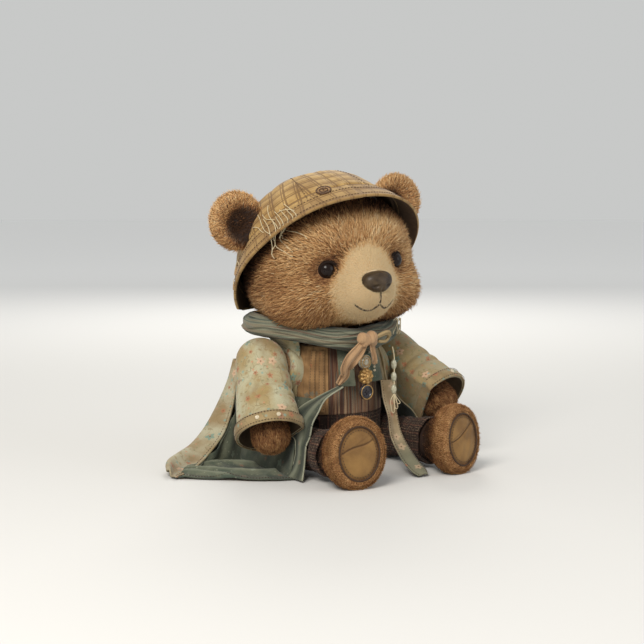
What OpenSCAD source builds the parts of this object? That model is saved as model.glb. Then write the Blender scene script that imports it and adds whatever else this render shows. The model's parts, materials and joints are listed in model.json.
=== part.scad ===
// Jointed teddy bear sitting down, dressed in a hat, scarf, floral coat and trousers.
// The bear faces -Y and its own left side is +X. It sits on z = 0. All sizes are in mm.

/* [Torso] */
// Widest radius of the stuffed body
body_r = 50; // [44:1:56]
// Height of the widest part of the body
belly_z = 42; // [36:1:50]
// Height of the flat neck seat
neck_z = 122; // [116:1:128]

/* [Head] */
// Height of the head centre
head_z = 186; // [180:1:194]
// Half the width of the head across the cheeks
head_w = 76; // [70:1:80]
// Radius of the head seen from its side
head_r = 67; // [62:1:70]
// Radius of the pale muzzle
muzzle_r = 31; // [26:1:34]
// Radius of each ear
ear_r = 27; // [22:1:32]
// Radius of each glass eye
eye_r = 7.6; // [6:0.2:9]

/* [Hat] */
// How far the hat leans back on the head, in degrees
hat_lean = 41; // [34:1:44]
// Radius at the brim's edge
brim_r = 90; // [87:0.5:92]
// Radius at the seam between brim and crown
seam_r = 82.4; // [81:0.2:84]
// Height of the seam above the head centre, along the hat's axis
seam_h = 12; // [9:1:14]

/* [Arms] */
// Distance of the shoulder joint from the middle
shoulder_x = 56; // [54:1:60]
// Height of the shoulder joint
shoulder_z = 89; // [84:1:94]
// Outward lean of the hanging arms, in degrees
arm_splay = 15; // [10:1:18]
// Length from the shoulder to the middle of the paw
arm_len = 69; // [60:1:78]
// Length of the sleeve
sleeve_len = 70; // [60:1:74]
// Radius of the sleeve at its hem
hem_r = 30; // [24:1:32]
// Forward swing of the right arm as it sits, in degrees
right_arm_swing = 33; // [10:1:60]
// Forward swing of the left arm as it sits, in degrees
left_arm_swing = 54; // [10:1:70]

/* [Legs] */
// Distance of the hip joint from the middle
hip_x = 35; // [33:1:38]
// Height of the hip joint
hip_z = 21; // [20:1:24]
// Radius of the trouser leg
trouser_r = 19.5; // [17:0.5:20]
// Length from the hip to the ankle
leg_len = 92; // [84:1:100]
// Width of the oval sole
sole_w = 54; // [46:1:58]
// Height of the oval sole
sole_h = 60; // [52:1:64]

/* [Cloth and fittings] */
// Thickness of plush and sewn cloth
cloth = 2; // [1.6:0.1:2.4]
// Radius of the joint bolts, an M5 thread
bolt_r = 2.5; // [2:0.5:3]
// Radial clearance of every part that turns on a bolt
turn_gap = 0.05; // [0.02:0.01:0.1]

/* [Hidden] */
$fn = 64;
joint_gap = 0.3;
hat_floor = 140;
hat_slope = 27;
shoulder_y = -5;
hip_y = -5;
arm_r = 16.5;
arm_w = 19.5;
cap_r = 21;
leg_r = 17;
leg_w = trouser_r - 4.3;
leg_open = 3;
leg_lift = 2.4;
toe_out = 7;
pad_t = 5;
disc_t = 3.2;
washer_t = 1;
nut_t = 5;
bolt_head_t = 3.5;
arm_disc_r = 13;
hip_disc_r = 13;
neck_disc_r = 17;
floor_z = 2;
waist_z = 49;
hip_room = trouser_r + 1.5;
head_turn = [-2, -5, -4];
vest_gap = 0.3;
vest_t = 1.6;
layer1 = 1.6;
layer2 = layer1 + vest_gap + vest_t;
layer3 = layer2 + vest_gap + 1.8;
layer4 = layer3 + vest_gap + 1.6;

PLUSH = [0.62, 0.42, 0.24];
PALE = [0.87, 0.73, 0.53];
DARK = [0.14, 0.09, 0.08];
HAT = [0.72, 0.56, 0.25];
FLORAL = [0.80, 0.70, 0.50];
TEAL = [0.36, 0.47, 0.42];
TAN = [0.74, 0.53, 0.30];
STRIPE = [0.45, 0.28, 0.24];
TROUSER = [0.20, 0.13, 0.11];
SUEDE = [0.73, 0.51, 0.25];
STEEL = [0.66, 0.67, 0.69];
BOARD = [0.50, 0.37, 0.24];
FILL = [0.91, 0.89, 0.84];

// Superellipse half outline as radius and height pairs, from bottom to top.
function oval(r, low, high, power = 2, steps = 16) =
  [for (i = [0:steps])
    let (a = -90 + 180 * i / steps, s = sin(a), h = s < 0 ? low : high)
      [r * pow(max(cos(a), 0), 2 / power), sign(s) * h * pow(abs(s), 2 / power)]];

// Tapered bar with round ends, as radius and height pairs.
function bar(r1, r2, length, steps = 7) =
  concat(
    [for (i = [0:steps]) let (a = -90 + 90 * i / steps) [r1 * cos(a), r1 * sin(a)]],
    [for (i = [0:steps]) let (a = 90 * i / steps) [r2 * cos(a), length + r2 * sin(a)]]);

// Radius of the stuffed body at height z.
function body_at(z) =
  z < belly_z
    ? body_r * pow(1 - pow((belly_z - z) / 52, 2.4), 1 / 2.4)
    : body_r * pow(1 - pow((z - belly_z) / 84, 3), 1 / 3);

function spread(a, b, n) = [for (i = [0:n]) a + (b - a) * i / n];

// Closed outline of the body, grown by g.
function body_outline(g) =
  concat(
    [[0, floor_z - g], [body_at(floor_z) + g * 0.7, floor_z - g]],
    [for (z = spread(5, 117, 14)) [body_at(z) + g, z]],
    [[body_at(neck_z - 2) + g - 1, neck_z - joint_gap + min(g, 0)],
     [0, neck_z - joint_gap + min(g, 0)]]);

// Closed outline of a band of cloth that follows the body between two heights.
function band(z0, z1, g0, g1, n = 8) =
  concat(
    [for (z = spread(z0, z1, n)) [body_at(z) + g1, z]],
    [for (z = spread(z1, z0, n)) [body_at(z) + g0, z]]);

module spin(points) {
  rotate_extrude() polygon(points);
}

module cloth_band(z0, z1, g0, g1, from, to) {
  rotate([0, 0, from])
    rotate_extrude(angle = to - from)
      polygon(band(z0, z1, g0, g1));
}

module both_sides() {
  children();
  mirror([1, 0, 0]) children();
}

module on_side(side) {
  mirror([side < 0 ? 1 : 0, 0, 0]) children();
}

// Extrudes a drawing made in the YZ plane along X, from x0 to x1.
module along_x(x0, x1) {
  translate([x0, 0, 0])
    rotate([90, 0, 90])
      linear_extrude(x1 - x0) children();
}

// Extrudes a drawing made in the XZ plane along Y, from y0 to y1.
module along_y(y0, y1) {
  translate([0, y1, 0])
    rotate([90, 0, 0])
      linear_extrude(y1 - y0) children();
}

// A strip of even thickness that follows a line of points.
module strip(points, t) {
  count = len(points);
  polygon(concat(points, [for (i = [0:count - 1]) points[count - 1 - i] - [t, t * 0.55]]));
}

// ---- joint frames: local z runs outwards along the joint's axis ----

module at_shoulder() {
  translate([shoulder_x, shoulder_y, shoulder_z])
    rotate([0, 90 - arm_splay, 0]) children();
}

module at_hip() {
  translate([hip_x, hip_y, hip_z])
    rotate([0, 90, 0]) children();
}

module at_neck() {
  translate([0, 0, neck_z]) children();
}

module at_each_joint() {
  at_neck() children();
  both_sides() at_shoulder() children();
  both_sides() at_hip() children();
}

module arm_pose(side) {
  swing = side < 0 ? right_arm_swing : left_arm_swing;
  on_side(side)
    at_shoulder()
      rotate([0, 0, -swing]) children();
}

// Local z runs from the hip to the sole.
module leg_pose(side) {
  on_side(side)
    translate([hip_x + leg_w, hip_y, hip_z])
      rotate([-leg_lift, 0, leg_open])
        rotate([90, 0, 0]) children();
}

module head_pose() {
  translate([0, 0, head_z])
    rotate(head_turn) children();
}

module hat_pose() {
  head_pose()
    rotate([-hat_lean, 0, 0]) children();
}

// ---- joint hardware ----

module ring(outer, inner, low, high) {
  translate([0, 0, low])
    difference() {
      cylinder(r = outer, h = high - low);
      translate([0, 0, -1]) cylinder(r = inner, h = high - low + 2);
    }
}

fabric_end = joint_gap + cloth;
disc_end = fabric_end + disc_t;
washer_end = disc_end + turn_gap + washer_t;

module body_disc(r) {
  ring(r, bolt_r + turn_gap, -disc_end, -fabric_end);
}

module limb_disc(r) {
  ring(r, bolt_r + turn_gap, fabric_end, disc_end);
}

module joint_bolt() {
  translate([0, 0, -disc_end - washer_t - nut_t - 2])
    cylinder(r = bolt_r, h = disc_end + washer_t + nut_t + 2 + washer_end);
  translate([0, 0, washer_end])
    cylinder(r = 4.6, h = bolt_head_t, $fn = 6);
}

module joint_nut() {
  top = -disc_end - washer_t - 0.05;
  difference() {
    translate([0, 0, top - nut_t]) cylinder(r = 4.6, h = nut_t, $fn = 6);
    translate([0, 0, top - nut_t - 1]) cylinder(r = bolt_r + 0.02, h = nut_t + 2);
  }
}

module joint_washer_pair() {
  ring(7, bolt_r + turn_gap, -disc_end - washer_t, -disc_end);
  ring(7, bolt_r + turn_gap, disc_end + turn_gap, washer_end);
}

// Room that the stuffing leaves round the fittings inside the body, or inside a limb.
module body_fittings_room(r) {
  translate([0, 0, -disc_end - 0.4]) cylinder(r = r + 0.6, h = disc_end + 1);
  translate([0, 0, -disc_end - 9.5]) cylinder(r = 7.8, h = 10);
}

module limb_fittings_room(r) {
  translate([0, 0, -1]) cylinder(r = r + 0.6, h = disc_end + 1.4);
  translate([0, 0, disc_end - 1]) cylinder(r = 7.8, h = 7.6);
}

module bolt_holes() {
  at_each_joint()
    translate([0, 0, -8]) cylinder(r = bolt_r + 2 * turn_gap, h = 16);
}

// ---- torso ----

// Room the thighs need beside the hips, outside |x| = inner. It leans up with the raised leg.
module thigh_room(inner) {
  lean = 6;
  reach = 160;
  both_sides()
    along_x(inner, 90)
      translate([hip_y, hip_z])
        polygon(concat(
          [[hip_room, -60]],
          [for (a = spread(0, 90 - lean, 8)) hip_room * [cos(a), sin(a)]],
          [[-reach, hip_room + reach * tan(lean)], [-reach, -60]]));
}

module torso_form(g) {
  difference() {
    union() {
      spin(body_outline(g));
      both_sides()
        at_shoulder()
          translate([0, 0, -34]) cylinder(r = 16 + g, h = 34 - joint_gap + min(g, 0));
    }
    thigh_room(hip_x - 2.4 + g);
  }
  both_sides()
    at_hip()
      translate([0, 0, -12]) cylinder(r = 15.5 + min(g, 0), h = 12 - joint_gap + min(g, 0));
}

module torso_shell() {
  color(PLUSH)
    difference() {
      torso_form(0);
      torso_form(-cloth);
      bolt_holes();
    }
}

module torso_stuffing() {
  color(FILL)
    difference() {
      torso_form(-cloth - 0.2);
      at_neck() body_fittings_room(neck_disc_r);
      both_sides() at_shoulder() body_fittings_room(arm_disc_r);
      both_sides() at_hip() body_fittings_room(hip_disc_r);
    }
}

module neck_body_disc() {
  color(BOARD) at_neck() body_disc(neck_disc_r);
}

module shoulder_body_discs() {
  color(BOARD) both_sides() at_shoulder() body_disc(arm_disc_r);
}

module hip_body_discs() {
  color(BOARD) both_sides() at_hip() body_disc(hip_disc_r);
}

module joint_bolts() {
  color(STEEL) at_each_joint() joint_bolt();
}

module joint_lock_nuts() {
  color(STEEL) at_each_joint() joint_nut();
}

module joint_washers() {
  color(STEEL) at_each_joint() joint_washer_pair();
}

// ---- clothes on the torso ----

// Lower body without the fittings' flats, grown by g and cut off at height top.
module seat_form(g, top) {
  difference() {
    rotate_extrude()
      polygon(concat(
        [[0, floor_z - g], [body_at(floor_z) + g * 0.7, floor_z - g]],
        [for (z = spread(5, top, 7)) [body_at(z) + g, z]],
        [[0, top]]));
    thigh_room(hip_x - 2.4 + g);
  }
}

module trousers_seat() {
  color(TROUSER)
    difference() {
      seat_form(cloth, waist_z);
      seat_form(0.2, waist_z + 4);
      both_sides() at_hip() translate([0, 0, -6]) cylinder(r = 15.9, h = 12);
    }
}

module armhole(extra) {
  both_sides()
    at_shoulder()
      translate([0, 0, -30]) cylinder(r = 16 + extra, h = 60);
}

module shirt() {
  color(STRIPE)
    difference() {
      cloth_band(waist_z + 0.3, 111, 0.2, layer1, -180, 0);
      thigh_room(20);
      armhole(0.8);
    }
}

module waistcoat() {
  color(TAN)
    difference() {
      cloth_band(waist_z + 1, 110, layer1 + vest_gap, layer2, 192, 236);
      armhole(0.8);
    }
}

// Raised button band of the waistcoat with its two stitched ridges.
module waistcoat_placket() {
  color(TAN)
    for (a = [219, 228])
      cloth_band(waist_z + 3, 106, layer2 + 0.1, layer2 + 1.3, a, a + 5);
}

module coat_body() {
  color(FLORAL)
    difference() {
      cloth_band(60, 112, layer2 + vest_gap, layer3, -48, 206);
      armhole(0.8);
    }
}

// Back of the coat from the waist down, spreading towards the floor.
module coat_skirt() {
  skirt = [[body_at(60) + layer3, 59.6], [60, 42], [67, 22], [77, 6], [80, 1.2], [77.4, 1.2],
    [74.6, 6], [64.6, 22], [57.8, 42], [body_at(60) + layer2 + vest_gap, 59.6]];
  color(FLORAL)
    rotate([0, 0, 24])
      rotate_extrude(angle = 132)
        polygon(skirt);
}

// Side of the coat that sweeps out behind the right arm and lies on the floor.
module coat_tail() {
  edge = [[-64, 92], [-70, 70], [-80, 48], [-93, 29], [-112, 14], [-134, 8], [-162, 5],
    [-162, 1.2], [-134, 3.4], [-111, 9], [-91, 24], [-78, 43], [-68, 66], [-62, 90]];
  plan = [[-58, 40], [-62, 36], [-84, 30], [-120, 26], [-150, 2], [-162, -2], [-161, 12],
    [-146, 36], [-118, 56], [-84, 62], [-64, 58]];
  color(FLORAL)
    difference() {
      intersection() {
        along_y(-10, 70) polygon(edge);
        linear_extrude(100) polygon(plan);
      }
      cylinder(r = 80.4, h = 100);
    }
}

// Teal lining that lies folded on the floor in front of the tail.
module coat_hem_folds() {
  color(TEAL)
    difference() {
      union() {
        for (i = [0:3])
          translate([-84 - 13 * i, -52 + 15 * i, 0.3])
            rotate([0, 0, 148 - 6 * i])
              rotate([90, 0, 90])
                linear_extrude(34 - 5 * i)
                  polygon([[-10, 0], [-5, 2.6], [-1, 6.4 - i], [3, 2.8], [10, 0]]);
      }
      translate([-74, -100, -1]) cube([80, 130, 20]);
    }
}

// Teal facing of the right front, from the chest over the thigh to the floor.
module coat_front_right() {
  outer = [[-24, 78], [-44, 69], [-58, 60], [-65.8, 50], [-69.6, 38], [-73.2, 33], [-74.6, 28],
    [-75.2, 22], [-76.4, 12], [-79.5, 0.3]];
  inner = [[-78, 0.3], [-74.9, 12], [-73.7, 22], [-73.1, 28], [-71.9, 32.6], [-68.2, 37.4],
    [-64.3, 49.4], [-57, 58.4], [-43.4, 67.4], [-24, 76.4]];
  plan = [[-20, -60], [-40, -60], [-60, -70], [-82, -73], [-82, -57], [-70.6, -57], [-69, -40],
    [-58, -40], [-44, -50], [-20, -56.6]];
  color(TEAL)
    intersection() {
      along_y(-80, -30) polygon(concat(outer, inner));
      linear_extrude(90) polygon(plan);
    }
}

// Floral strip of the left front, which falls between the legs.
module coat_front_left() {
  side = [[-56, 78], [-60, 60], [-68, 46], [-80, 30], [-98, 14], [-118, 4], [-118, 2.2], [-97, 12],
    [-78.4, 28.8], [-66.2, 45], [-58.2, 59.4], [-54.4, 76]];
  plan = [[22, -50], [40, -50], [36, -62], [27.5, -72], [27.5, -114], [22, -119], [13, -116],
    [13, -80], [20, -64]];
  color(FLORAL)
    intersection() {
      along_x(8, 44) polygon(side);
      linear_extrude(90) polygon(plan);
    }
}

module coat_collar() {
  color(TEAL)
    difference() {
      union() {
        cloth_band(76, 111, layer3 + vest_gap, layer4, 247, 262);
        cloth_band(78, 111, layer3 + vest_gap, layer4, 280, 301);
      }
      translate([-14, -70, 70]) rotate([0, 32, 0]) cube([30, 40, 22]);
    }
}

// ---- scarf ----

module scarf() {
  wrap = [[34.5, 117.4], [50, 116.6], [71, 117], [75.5, 121], [77, 128], [76.4, 134], [73, 138],
    [67, 138.4], [60, 135], [50, 128], [34.5, 119.6]];
  color(TEAL)
    difference() {
      intersection() {
        spin(wrap);
        translate([0, 15, 100]) cylinder(r = 78, h = 60);
      }
      translate([0, -76, 127]) rotate([7.6, 0, 0]) translate([-90, -20, 0]) cube([180, 190, 60]);
    }
}

module scarf_knot() {
  wrap = [[0, -11], [5, -9], [7.4, -5], [6, 0], [8, 5], [6, 9], [0, 11]];
  color(TAN)
    difference() {
      translate([-4, -66, 118]) rotate([0, 90, 0]) spin(wrap);
      translate([-40, -63.4, 90]) cube([80, 40, 60]);
    }
}

module scarf_tail(long) {
  linear_extrude(2)
    polygon([[-3.5, 0], [3.5, 0], [5, -long * 0.4], [7, -long * 0.75], [4, -long],
      [-4, -long * 0.86], [-4.5, -long * 0.4]]);
}

module scarf_tail_long() {
  color(TAN)
    translate([-9, -67, 110]) rotate([105, 0, -21]) rotate([0, 0, -38]) scarf_tail(45);
}

module scarf_tail_short() {
  color(TAN)
    translate([-1, -67, 110]) rotate([103, 0, -4]) rotate([0, 0, -8]) scarf_tail(17);
}

// ---- trimmings on the chest ----

module on_chest(z, x) {
  translate([x, 0, z])
    rotate([90, 0, 0])
      translate([0, 0, body_at(z) + layer4 + 1]) children();
}

module brooch_cameo() {
  color([0.83, 0.76, 0.62])
    on_chest(96, 4) {
      cylinder(r = 6.5, h = 2.2);
      translate([0, 0, 2]) spin([[0, 0], [4.8, 0], [4, 1.1], [0, 1.8]]);
    }
}

module brooch_rosette() {
  color([0.72, 0.55, 0.30])
    on_chest(83.5, 2) {
      cylinder(r = 5, h = 3.4);
      for (i = [0:7])
        rotate([0, 0, 45 * i]) translate([4.6, 0, 0]) cylinder(r = 2.3, h = 2.4);
    }
}

module dark_button() {
  color([0.16, 0.17, 0.22])
    on_chest(69.5, 2)
      difference() {
        spin([[0, 0], [6.6, 0], [7, 1.2], [6.4, 2.4], [5, 2.8], [4.4, 2.1], [0, 2.1]]);
        for (i = [0:3])
          rotate([0, 0, 90 * i]) translate([1.7, 0, -1]) cylinder(r = 0.7, h = 5);
      }
}

module chest_beads() {
  color([0.60, 0.60, 0.47])
    for (i = [0:2])
      translate([33 - i * 1.5, -60 - i * 1.9, 92 - 11 * i])
        spin(oval(2.6, 4.6, 4.6));
}

// ---- head ----

module head_form(g) {
  intersection() {
    head_pose()
      rotate([0, 90, 0])
        spin(oval(head_r + g, head_w + g, head_w + g, 2.2, 20));
    translate([-100, -100, neck_z + joint_gap - min(g, 0)]) cube([200, 200, 200]);
  }
}

module muzzle_form(g) {
  head_pose()
    translate([0, -52, -25])
      rotate([90, 0, 0])
        spin(oval(muzzle_r + g, 12, 34 + g, 2.2));
}

module head_shell() {
  color(PLUSH)
    difference() {
      head_form(0);
      head_form(-cloth);
      bolt_holes();
    }
}

module head_stuffing() {
  color(FILL)
    difference() {
      head_form(-cloth - 0.2);
      at_neck() limb_fittings_room(neck_disc_r);
    }
}

module neck_head_disc() {
  color(BOARD) at_neck() limb_disc(neck_disc_r);
}

module muzzle() {
  color(PALE)
    difference() {
      muzzle_form(0);
      head_form(0.02);
    }
}

module nose() {
  color(DARK)
    difference() {
      head_pose()
        translate([0, -81, -19])
          rotate([0, 90, 0]) spin(oval(10.5, 14.5, 14.5, 2.2));
      muzzle_form(0.02);
    }
}

// Stitched mouth: a short line down from the nose and two smiling arcs.
module mouth_stitch() {
  color(DARK)
    difference() {
      intersection() {
        muzzle_form(0.9);
        head_pose()
          along_y(-96, -55)
            translate([0, -38]) {
              translate([-0.8, -1]) square([1.6, 10]);
              for (s = [-1, 1])
                translate([s * 10.8, 7])
                  difference() {
                    circle(r = 13.5);
                    circle(r = 12);
                    translate([-20, -8]) square([40, 40]);
                  }
            }
      }
      muzzle_form(0.02);
    }
}

module eyes() {
  color(DARK)
    for (s = [-1, 1])
      difference() {
        head_pose() translate([s * 35.5, -58, -4.5]) sphere(r = eye_r);
        head_form(0.02);
      }
}

module ear_form(side, g) {
  head_pose()
    translate([side * 86, 4, 44])
      rotate([90, 0, 0])
        spin([[0, -6 - g], [ear_r - 5, -6 - g], [ear_r - 1 + g, -3], [ear_r + g, 0.5],
          [ear_r - 1.5 + g, 4], [ear_r - 5, 6 + g], [0, 6 + g]]);
}

module ear_hollow(side, g) {
  head_pose()
    translate([side * 85, 4, 42])
      rotate([90, 0, 0])
        spin([[0, 2.6 + g], [10, 2.6 + g], [ear_r - 10 - g, 6.2], [ear_r - 10 - g, 8], [0, 8]]);
}

module ear(side) {
  color(PLUSH)
    difference() {
      ear_form(side, 0);
      ear_hollow(side, 0);
      head_form(0.02);
    }
}

module ear_linings() {
  color([0.22, 0.15, 0.13])
    for (s = [-1, 1])
      difference() {
        intersection() {
          ear_hollow(s, 0.05);
          ear_form(s, -0.8);
        }
        head_form(0.1);
        hat_pose() spin([[0, -8], [94, -8], [86, 12], [76, 32], [61, 56], [44, 68], [0, 76]]);
      }
}

// ---- hat ----

// Keeps the hat above the scarf, where its rim is cut straight at the neck.
module above_scarf() {
  intersection() {
    children();
    translate([-150, -150, hat_floor]) cube([300, 300, 200]);
  }
}

module hat_crown() {
  outer = [[seam_r, seam_h + 0.2], [79, 20], [73.2, 32], [66.5, 44], [57.5, 56], [42, 66],
    [20, 71.6], [0, 73]];
  inner = [[0, 71], [19.6, 69.6], [41, 64.1], [56, 54.4], [64.7, 42.9], [71.3, 31.2], [77, 19.4],
    [seam_r - 2.1, seam_h + 0.2]];
  color(HAT)
    above_scarf()
      difference() {
        hat_pose() spin(concat(outer, inner));
        ear_form(-1, 0.4);
        ear_form(1, 0.4);
      }
}

module hat_brim() {
  edge = [[seam_r + 0.4, seam_h], [seam_r + 1.4, seam_h - 3], [brim_r, -2.4], [brim_r + 1.6, -3],
    [brim_r + 2, -4.6], [brim_r + 0.6, -5.8], [brim_r - 1.8, -5.2], [brim_r - 2.6, -2.6],
    [seam_r - 1, seam_h - 3.4], [seam_r - 1.8, seam_h]];
  color(HAT)
    above_scarf()
      difference() {
        hat_pose() spin(edge);
        ear_form(-1, 0.4);
        ear_form(1, 0.4);
      }
}

module sewn_button(r) {
  difference() {
    spin([[0, 0], [r, 0], [r, 1.4], [r - 0.9, 2.4], [r - 2, 1.6], [0, 1.5]]);
    for (i = [0:3])
      rotate([0, 0, 90 * i]) translate([r * 0.28, 0, -1]) cylinder(r = r * 0.11, h = 4);
  }
}

// Stands a button on the hat's side, turned round its axis from the forehead.
module on_hat(turn, h) {
  hat_pose()
    rotate([0, 0, turn])
      translate([0, -seam_r - 0.8 - (seam_h - h) * tan(hat_slope), h])
        rotate([90 - hat_slope, 0, 0]) children();
}

module hat_button() {
  color([0.70, 0.50, 0.28]) on_hat(-18, 15) sewn_button(6.6);
}

module hat_side_buttons() {
  color([0.63, 0.45, 0.26]) {
    on_hat(-99, 9) sewn_button(4.2);
    on_hat(-109, 4) sewn_button(4.2);
  }
}

// ---- arms ----

module arm_form(g) {
  difference() {
    union() {
      translate([0, 0, arm_w])
        rotate([0, 90, 0]) spin(bar(arm_r + g, arm_r + g, arm_len));
      cylinder(r = 15 + g, h = arm_w);
    }
    translate([-60, -60, -40 + joint_gap - min(g, 0)]) cube([180, 120, 40]);
  }
}

module sleeve_form(g) {
  difference() {
    translate([0, 0, arm_w])
      rotate([0, 90, 0])
        spin(concat(
          [for (i = [0:7]) let (a = -90 + 90 * i / 7) [(cap_r + g) * cos(a), (cap_r + g) * sin(a)]],
          [[cap_r + 5 + g, sleeve_len * 0.5], [hem_r + g, sleeve_len], [0, sleeve_len]]));
    translate([-60, -60, -40 + joint_gap + 0.2 - g]) cube([180, 120, 40]);
  }
}

module arm_shell(side) {
  color(PLUSH)
    difference() {
      arm_pose(side) arm_form(0);
      arm_pose(side) arm_form(-cloth);
      bolt_holes();
    }
}

module arm_stuffing(side) {
  color(FILL)
    arm_pose(side)
      difference() {
        arm_form(-cloth - 0.2);
        limb_fittings_room(arm_disc_r - 0.7);
      }
}

module arm_disc(side) {
  color(BOARD) arm_pose(side) limb_disc(arm_disc_r - 0.5);
}

// Turned-up hem band, drawn as radius and length pairs.
function hem_band(r, end) =
  [[r - 1.6, end - 10], [r + 0.3, end - 10], [r + 1.4, end - 9], [r + 1.6, end - 0.8],
    [r + 1, end], [r - 1.6, end]];

module sleeve(side) {
  color(FLORAL)
    arm_pose(side)
      difference() {
        union() {
          sleeve_form(0);
          difference() {
            translate([0, 0, arm_w]) rotate([0, 90, 0]) spin(hem_band(hem_r, sleeve_len));
            translate([-60, -60, -40 + joint_gap + 0.2]) cube([180, 120, 40]);
          }
        }
        sleeve_form(-1.8);
        difference() {
          translate([sleeve_len - 1, 0, arm_w]) rotate([0, 90, 0]) cylinder(r = hem_r - 2, h = 3);
          translate([-60, -60, -40 + joint_gap + 2]) cube([180, 120, 40]);
        }
        translate([0, 0, -1]) cylinder(r = 15.4, h = 10);
      }
}

// ---- legs ----

// The trouser leg and the plush leg share this shape; the cut makes the flat inner side.
module leg_form(r, length, inner) {
  difference() {
    leg_pose(1) spin(bar(r, r - 0.5, length));
    translate([hip_x + inner - 80, -200, -100]) cube([80, 300, 300]);
  }
}

module sole_oval(g, t) {
  scale([(sole_w + 2 * g) / 100, (sole_h + 2 * g) / 100, 1])
    cylinder(r = 50, h = t, $fn = 40);
}

module at_sole() {
  leg_pose(1)
    translate([0.6, 4.2, leg_len + 24])
      rotate([-leg_lift, toe_out, 0]) children();
}

module foot_form(g) {
  hull() {
    at_sole() translate([0, 0, 2 - min(g, 0) / 4]) sole_oval(g - 1, 3 + min(g, 0));
    at_sole() translate([0, 0, -4]) sole_oval(g, 1);
    leg_pose(1) translate([0, 0, leg_len - 6]) cylinder(r = leg_r - 2 + g, h = 2, $fn = 40);
  }
}

module plush_leg(g) {
  leg_form(leg_r + g, leg_len - 14, joint_gap + 2.3 - g);
  foot_form(g);
  at_hip() translate([0, 0, joint_gap - g]) cylinder(r = 15 + g, h = leg_w);
}

module leg_shell(side) {
  color(PLUSH)
    on_side(side)
      difference() {
        plush_leg(0);
        plush_leg(-cloth);
        at_hip() translate([0, 0, -8]) cylinder(r = bolt_r + 2 * turn_gap, h = 16);
      }
}

module leg_stuffing(side) {
  color(FILL)
    on_side(side)
      difference() {
        plush_leg(-cloth - 0.2);
        at_hip() limb_fittings_room(hip_disc_r - 0.7);
      }
}

module leg_disc(side) {
  color(BOARD) on_side(side) at_hip() limb_disc(hip_disc_r - 0.5);
}

module foot_pad(side) {
  color(SUEDE)
    on_side(side)
      at_sole() translate([0, 0, 5.05]) {
        sole_oval(0, pad_t - 2);
        sole_oval(-2.5, pad_t - 1);
      }
}

module trouser_leg(side) {
  end = leg_len - 8;
  color(TROUSER)
    on_side(side)
      difference() {
        union() {
          leg_form(trouser_r, end, joint_gap);
          difference() {
            leg_pose(1) spin(hem_band(trouser_r, end));
            translate([hip_x + joint_gap - 80, -200, -100]) cube([80, 300, 300]);
          }
        }
        leg_form(trouser_r - 1.8, end, joint_gap + 1.8);
        leg_pose(1) translate([0, 0, end]) cylinder(r = 40, h = 40);
        difference() {
          leg_pose(1) translate([0, 0, end - 1]) cylinder(r = trouser_r - 1.9, h = 3);
          translate([hip_x + joint_gap + 1.8 - 80, -200, -100]) cube([80, 300, 300]);
        }
        at_hip() translate([0, 0, -2]) cylinder(r = 15.4, h = 9.4);
      }
}

torso_shell();
torso_stuffing();
neck_body_disc();
shoulder_body_discs();
hip_body_discs();
joint_bolts();
joint_lock_nuts();
joint_washers();
trousers_seat();
shirt();
waistcoat();
waistcoat_placket();
coat_body();
coat_skirt();
coat_tail();
coat_hem_folds();
coat_front_right();
coat_front_left();
coat_collar();
scarf();
scarf_knot();
scarf_tail_long();
scarf_tail_short();
brooch_cameo();
brooch_rosette();
dark_button();
chest_beads();
head_shell();
head_stuffing();
neck_head_disc();
muzzle();
nose();
mouth_stitch();
eyes();
ear(-1);  // ear_right
ear(1);  // ear_left
ear_linings();
hat_crown();
hat_brim();
hat_button();
hat_side_buttons();
arm_shell(-1);  // arm_right
arm_shell(1);  // arm_left
arm_stuffing(-1);  // arm_stuffing_right
arm_stuffing(1);  // arm_stuffing_left
arm_disc(-1);  // arm_disc_right
arm_disc(1);  // arm_disc_left
sleeve(-1);  // sleeve_right
sleeve(1);  // sleeve_left
leg_shell(-1);  // leg_right
leg_shell(1);  // leg_left
leg_stuffing(-1);  // leg_stuffing_right
leg_stuffing(1);  // leg_stuffing_left
leg_disc(-1);  // leg_disc_right
leg_disc(1);  // leg_disc_left
foot_pad(-1);  // foot_pad_right
foot_pad(1);  // foot_pad_left
trouser_leg(-1);  // trouser_leg_right
trouser_leg(1);  // trouser_leg_left
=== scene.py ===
"""Looks of the jointed teddy bear: its fur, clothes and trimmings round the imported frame.

All shapes are worked out in millimetres, in the frame's own axes, and written in metres.
"""
import json
import math

import bpy
import numpy as np
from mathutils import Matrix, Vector


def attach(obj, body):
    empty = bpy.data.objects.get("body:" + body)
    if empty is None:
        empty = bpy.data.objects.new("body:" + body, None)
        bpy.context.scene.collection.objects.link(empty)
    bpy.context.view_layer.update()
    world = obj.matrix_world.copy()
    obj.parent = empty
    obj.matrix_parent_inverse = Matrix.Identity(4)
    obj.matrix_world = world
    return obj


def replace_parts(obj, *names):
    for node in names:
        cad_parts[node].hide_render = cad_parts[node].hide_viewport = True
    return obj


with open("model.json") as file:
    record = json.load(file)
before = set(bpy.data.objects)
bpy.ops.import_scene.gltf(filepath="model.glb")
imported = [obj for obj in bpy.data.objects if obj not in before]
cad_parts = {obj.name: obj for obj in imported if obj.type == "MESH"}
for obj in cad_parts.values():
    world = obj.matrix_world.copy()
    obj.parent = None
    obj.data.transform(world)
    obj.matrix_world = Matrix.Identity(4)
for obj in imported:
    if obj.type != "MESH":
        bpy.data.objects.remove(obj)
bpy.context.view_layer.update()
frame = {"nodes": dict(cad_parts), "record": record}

MM = 0.001
TURN = (0, 2 * np.pi)
rng = np.random.default_rng(11)

# ---------------------------------------------------------------- frames


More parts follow.
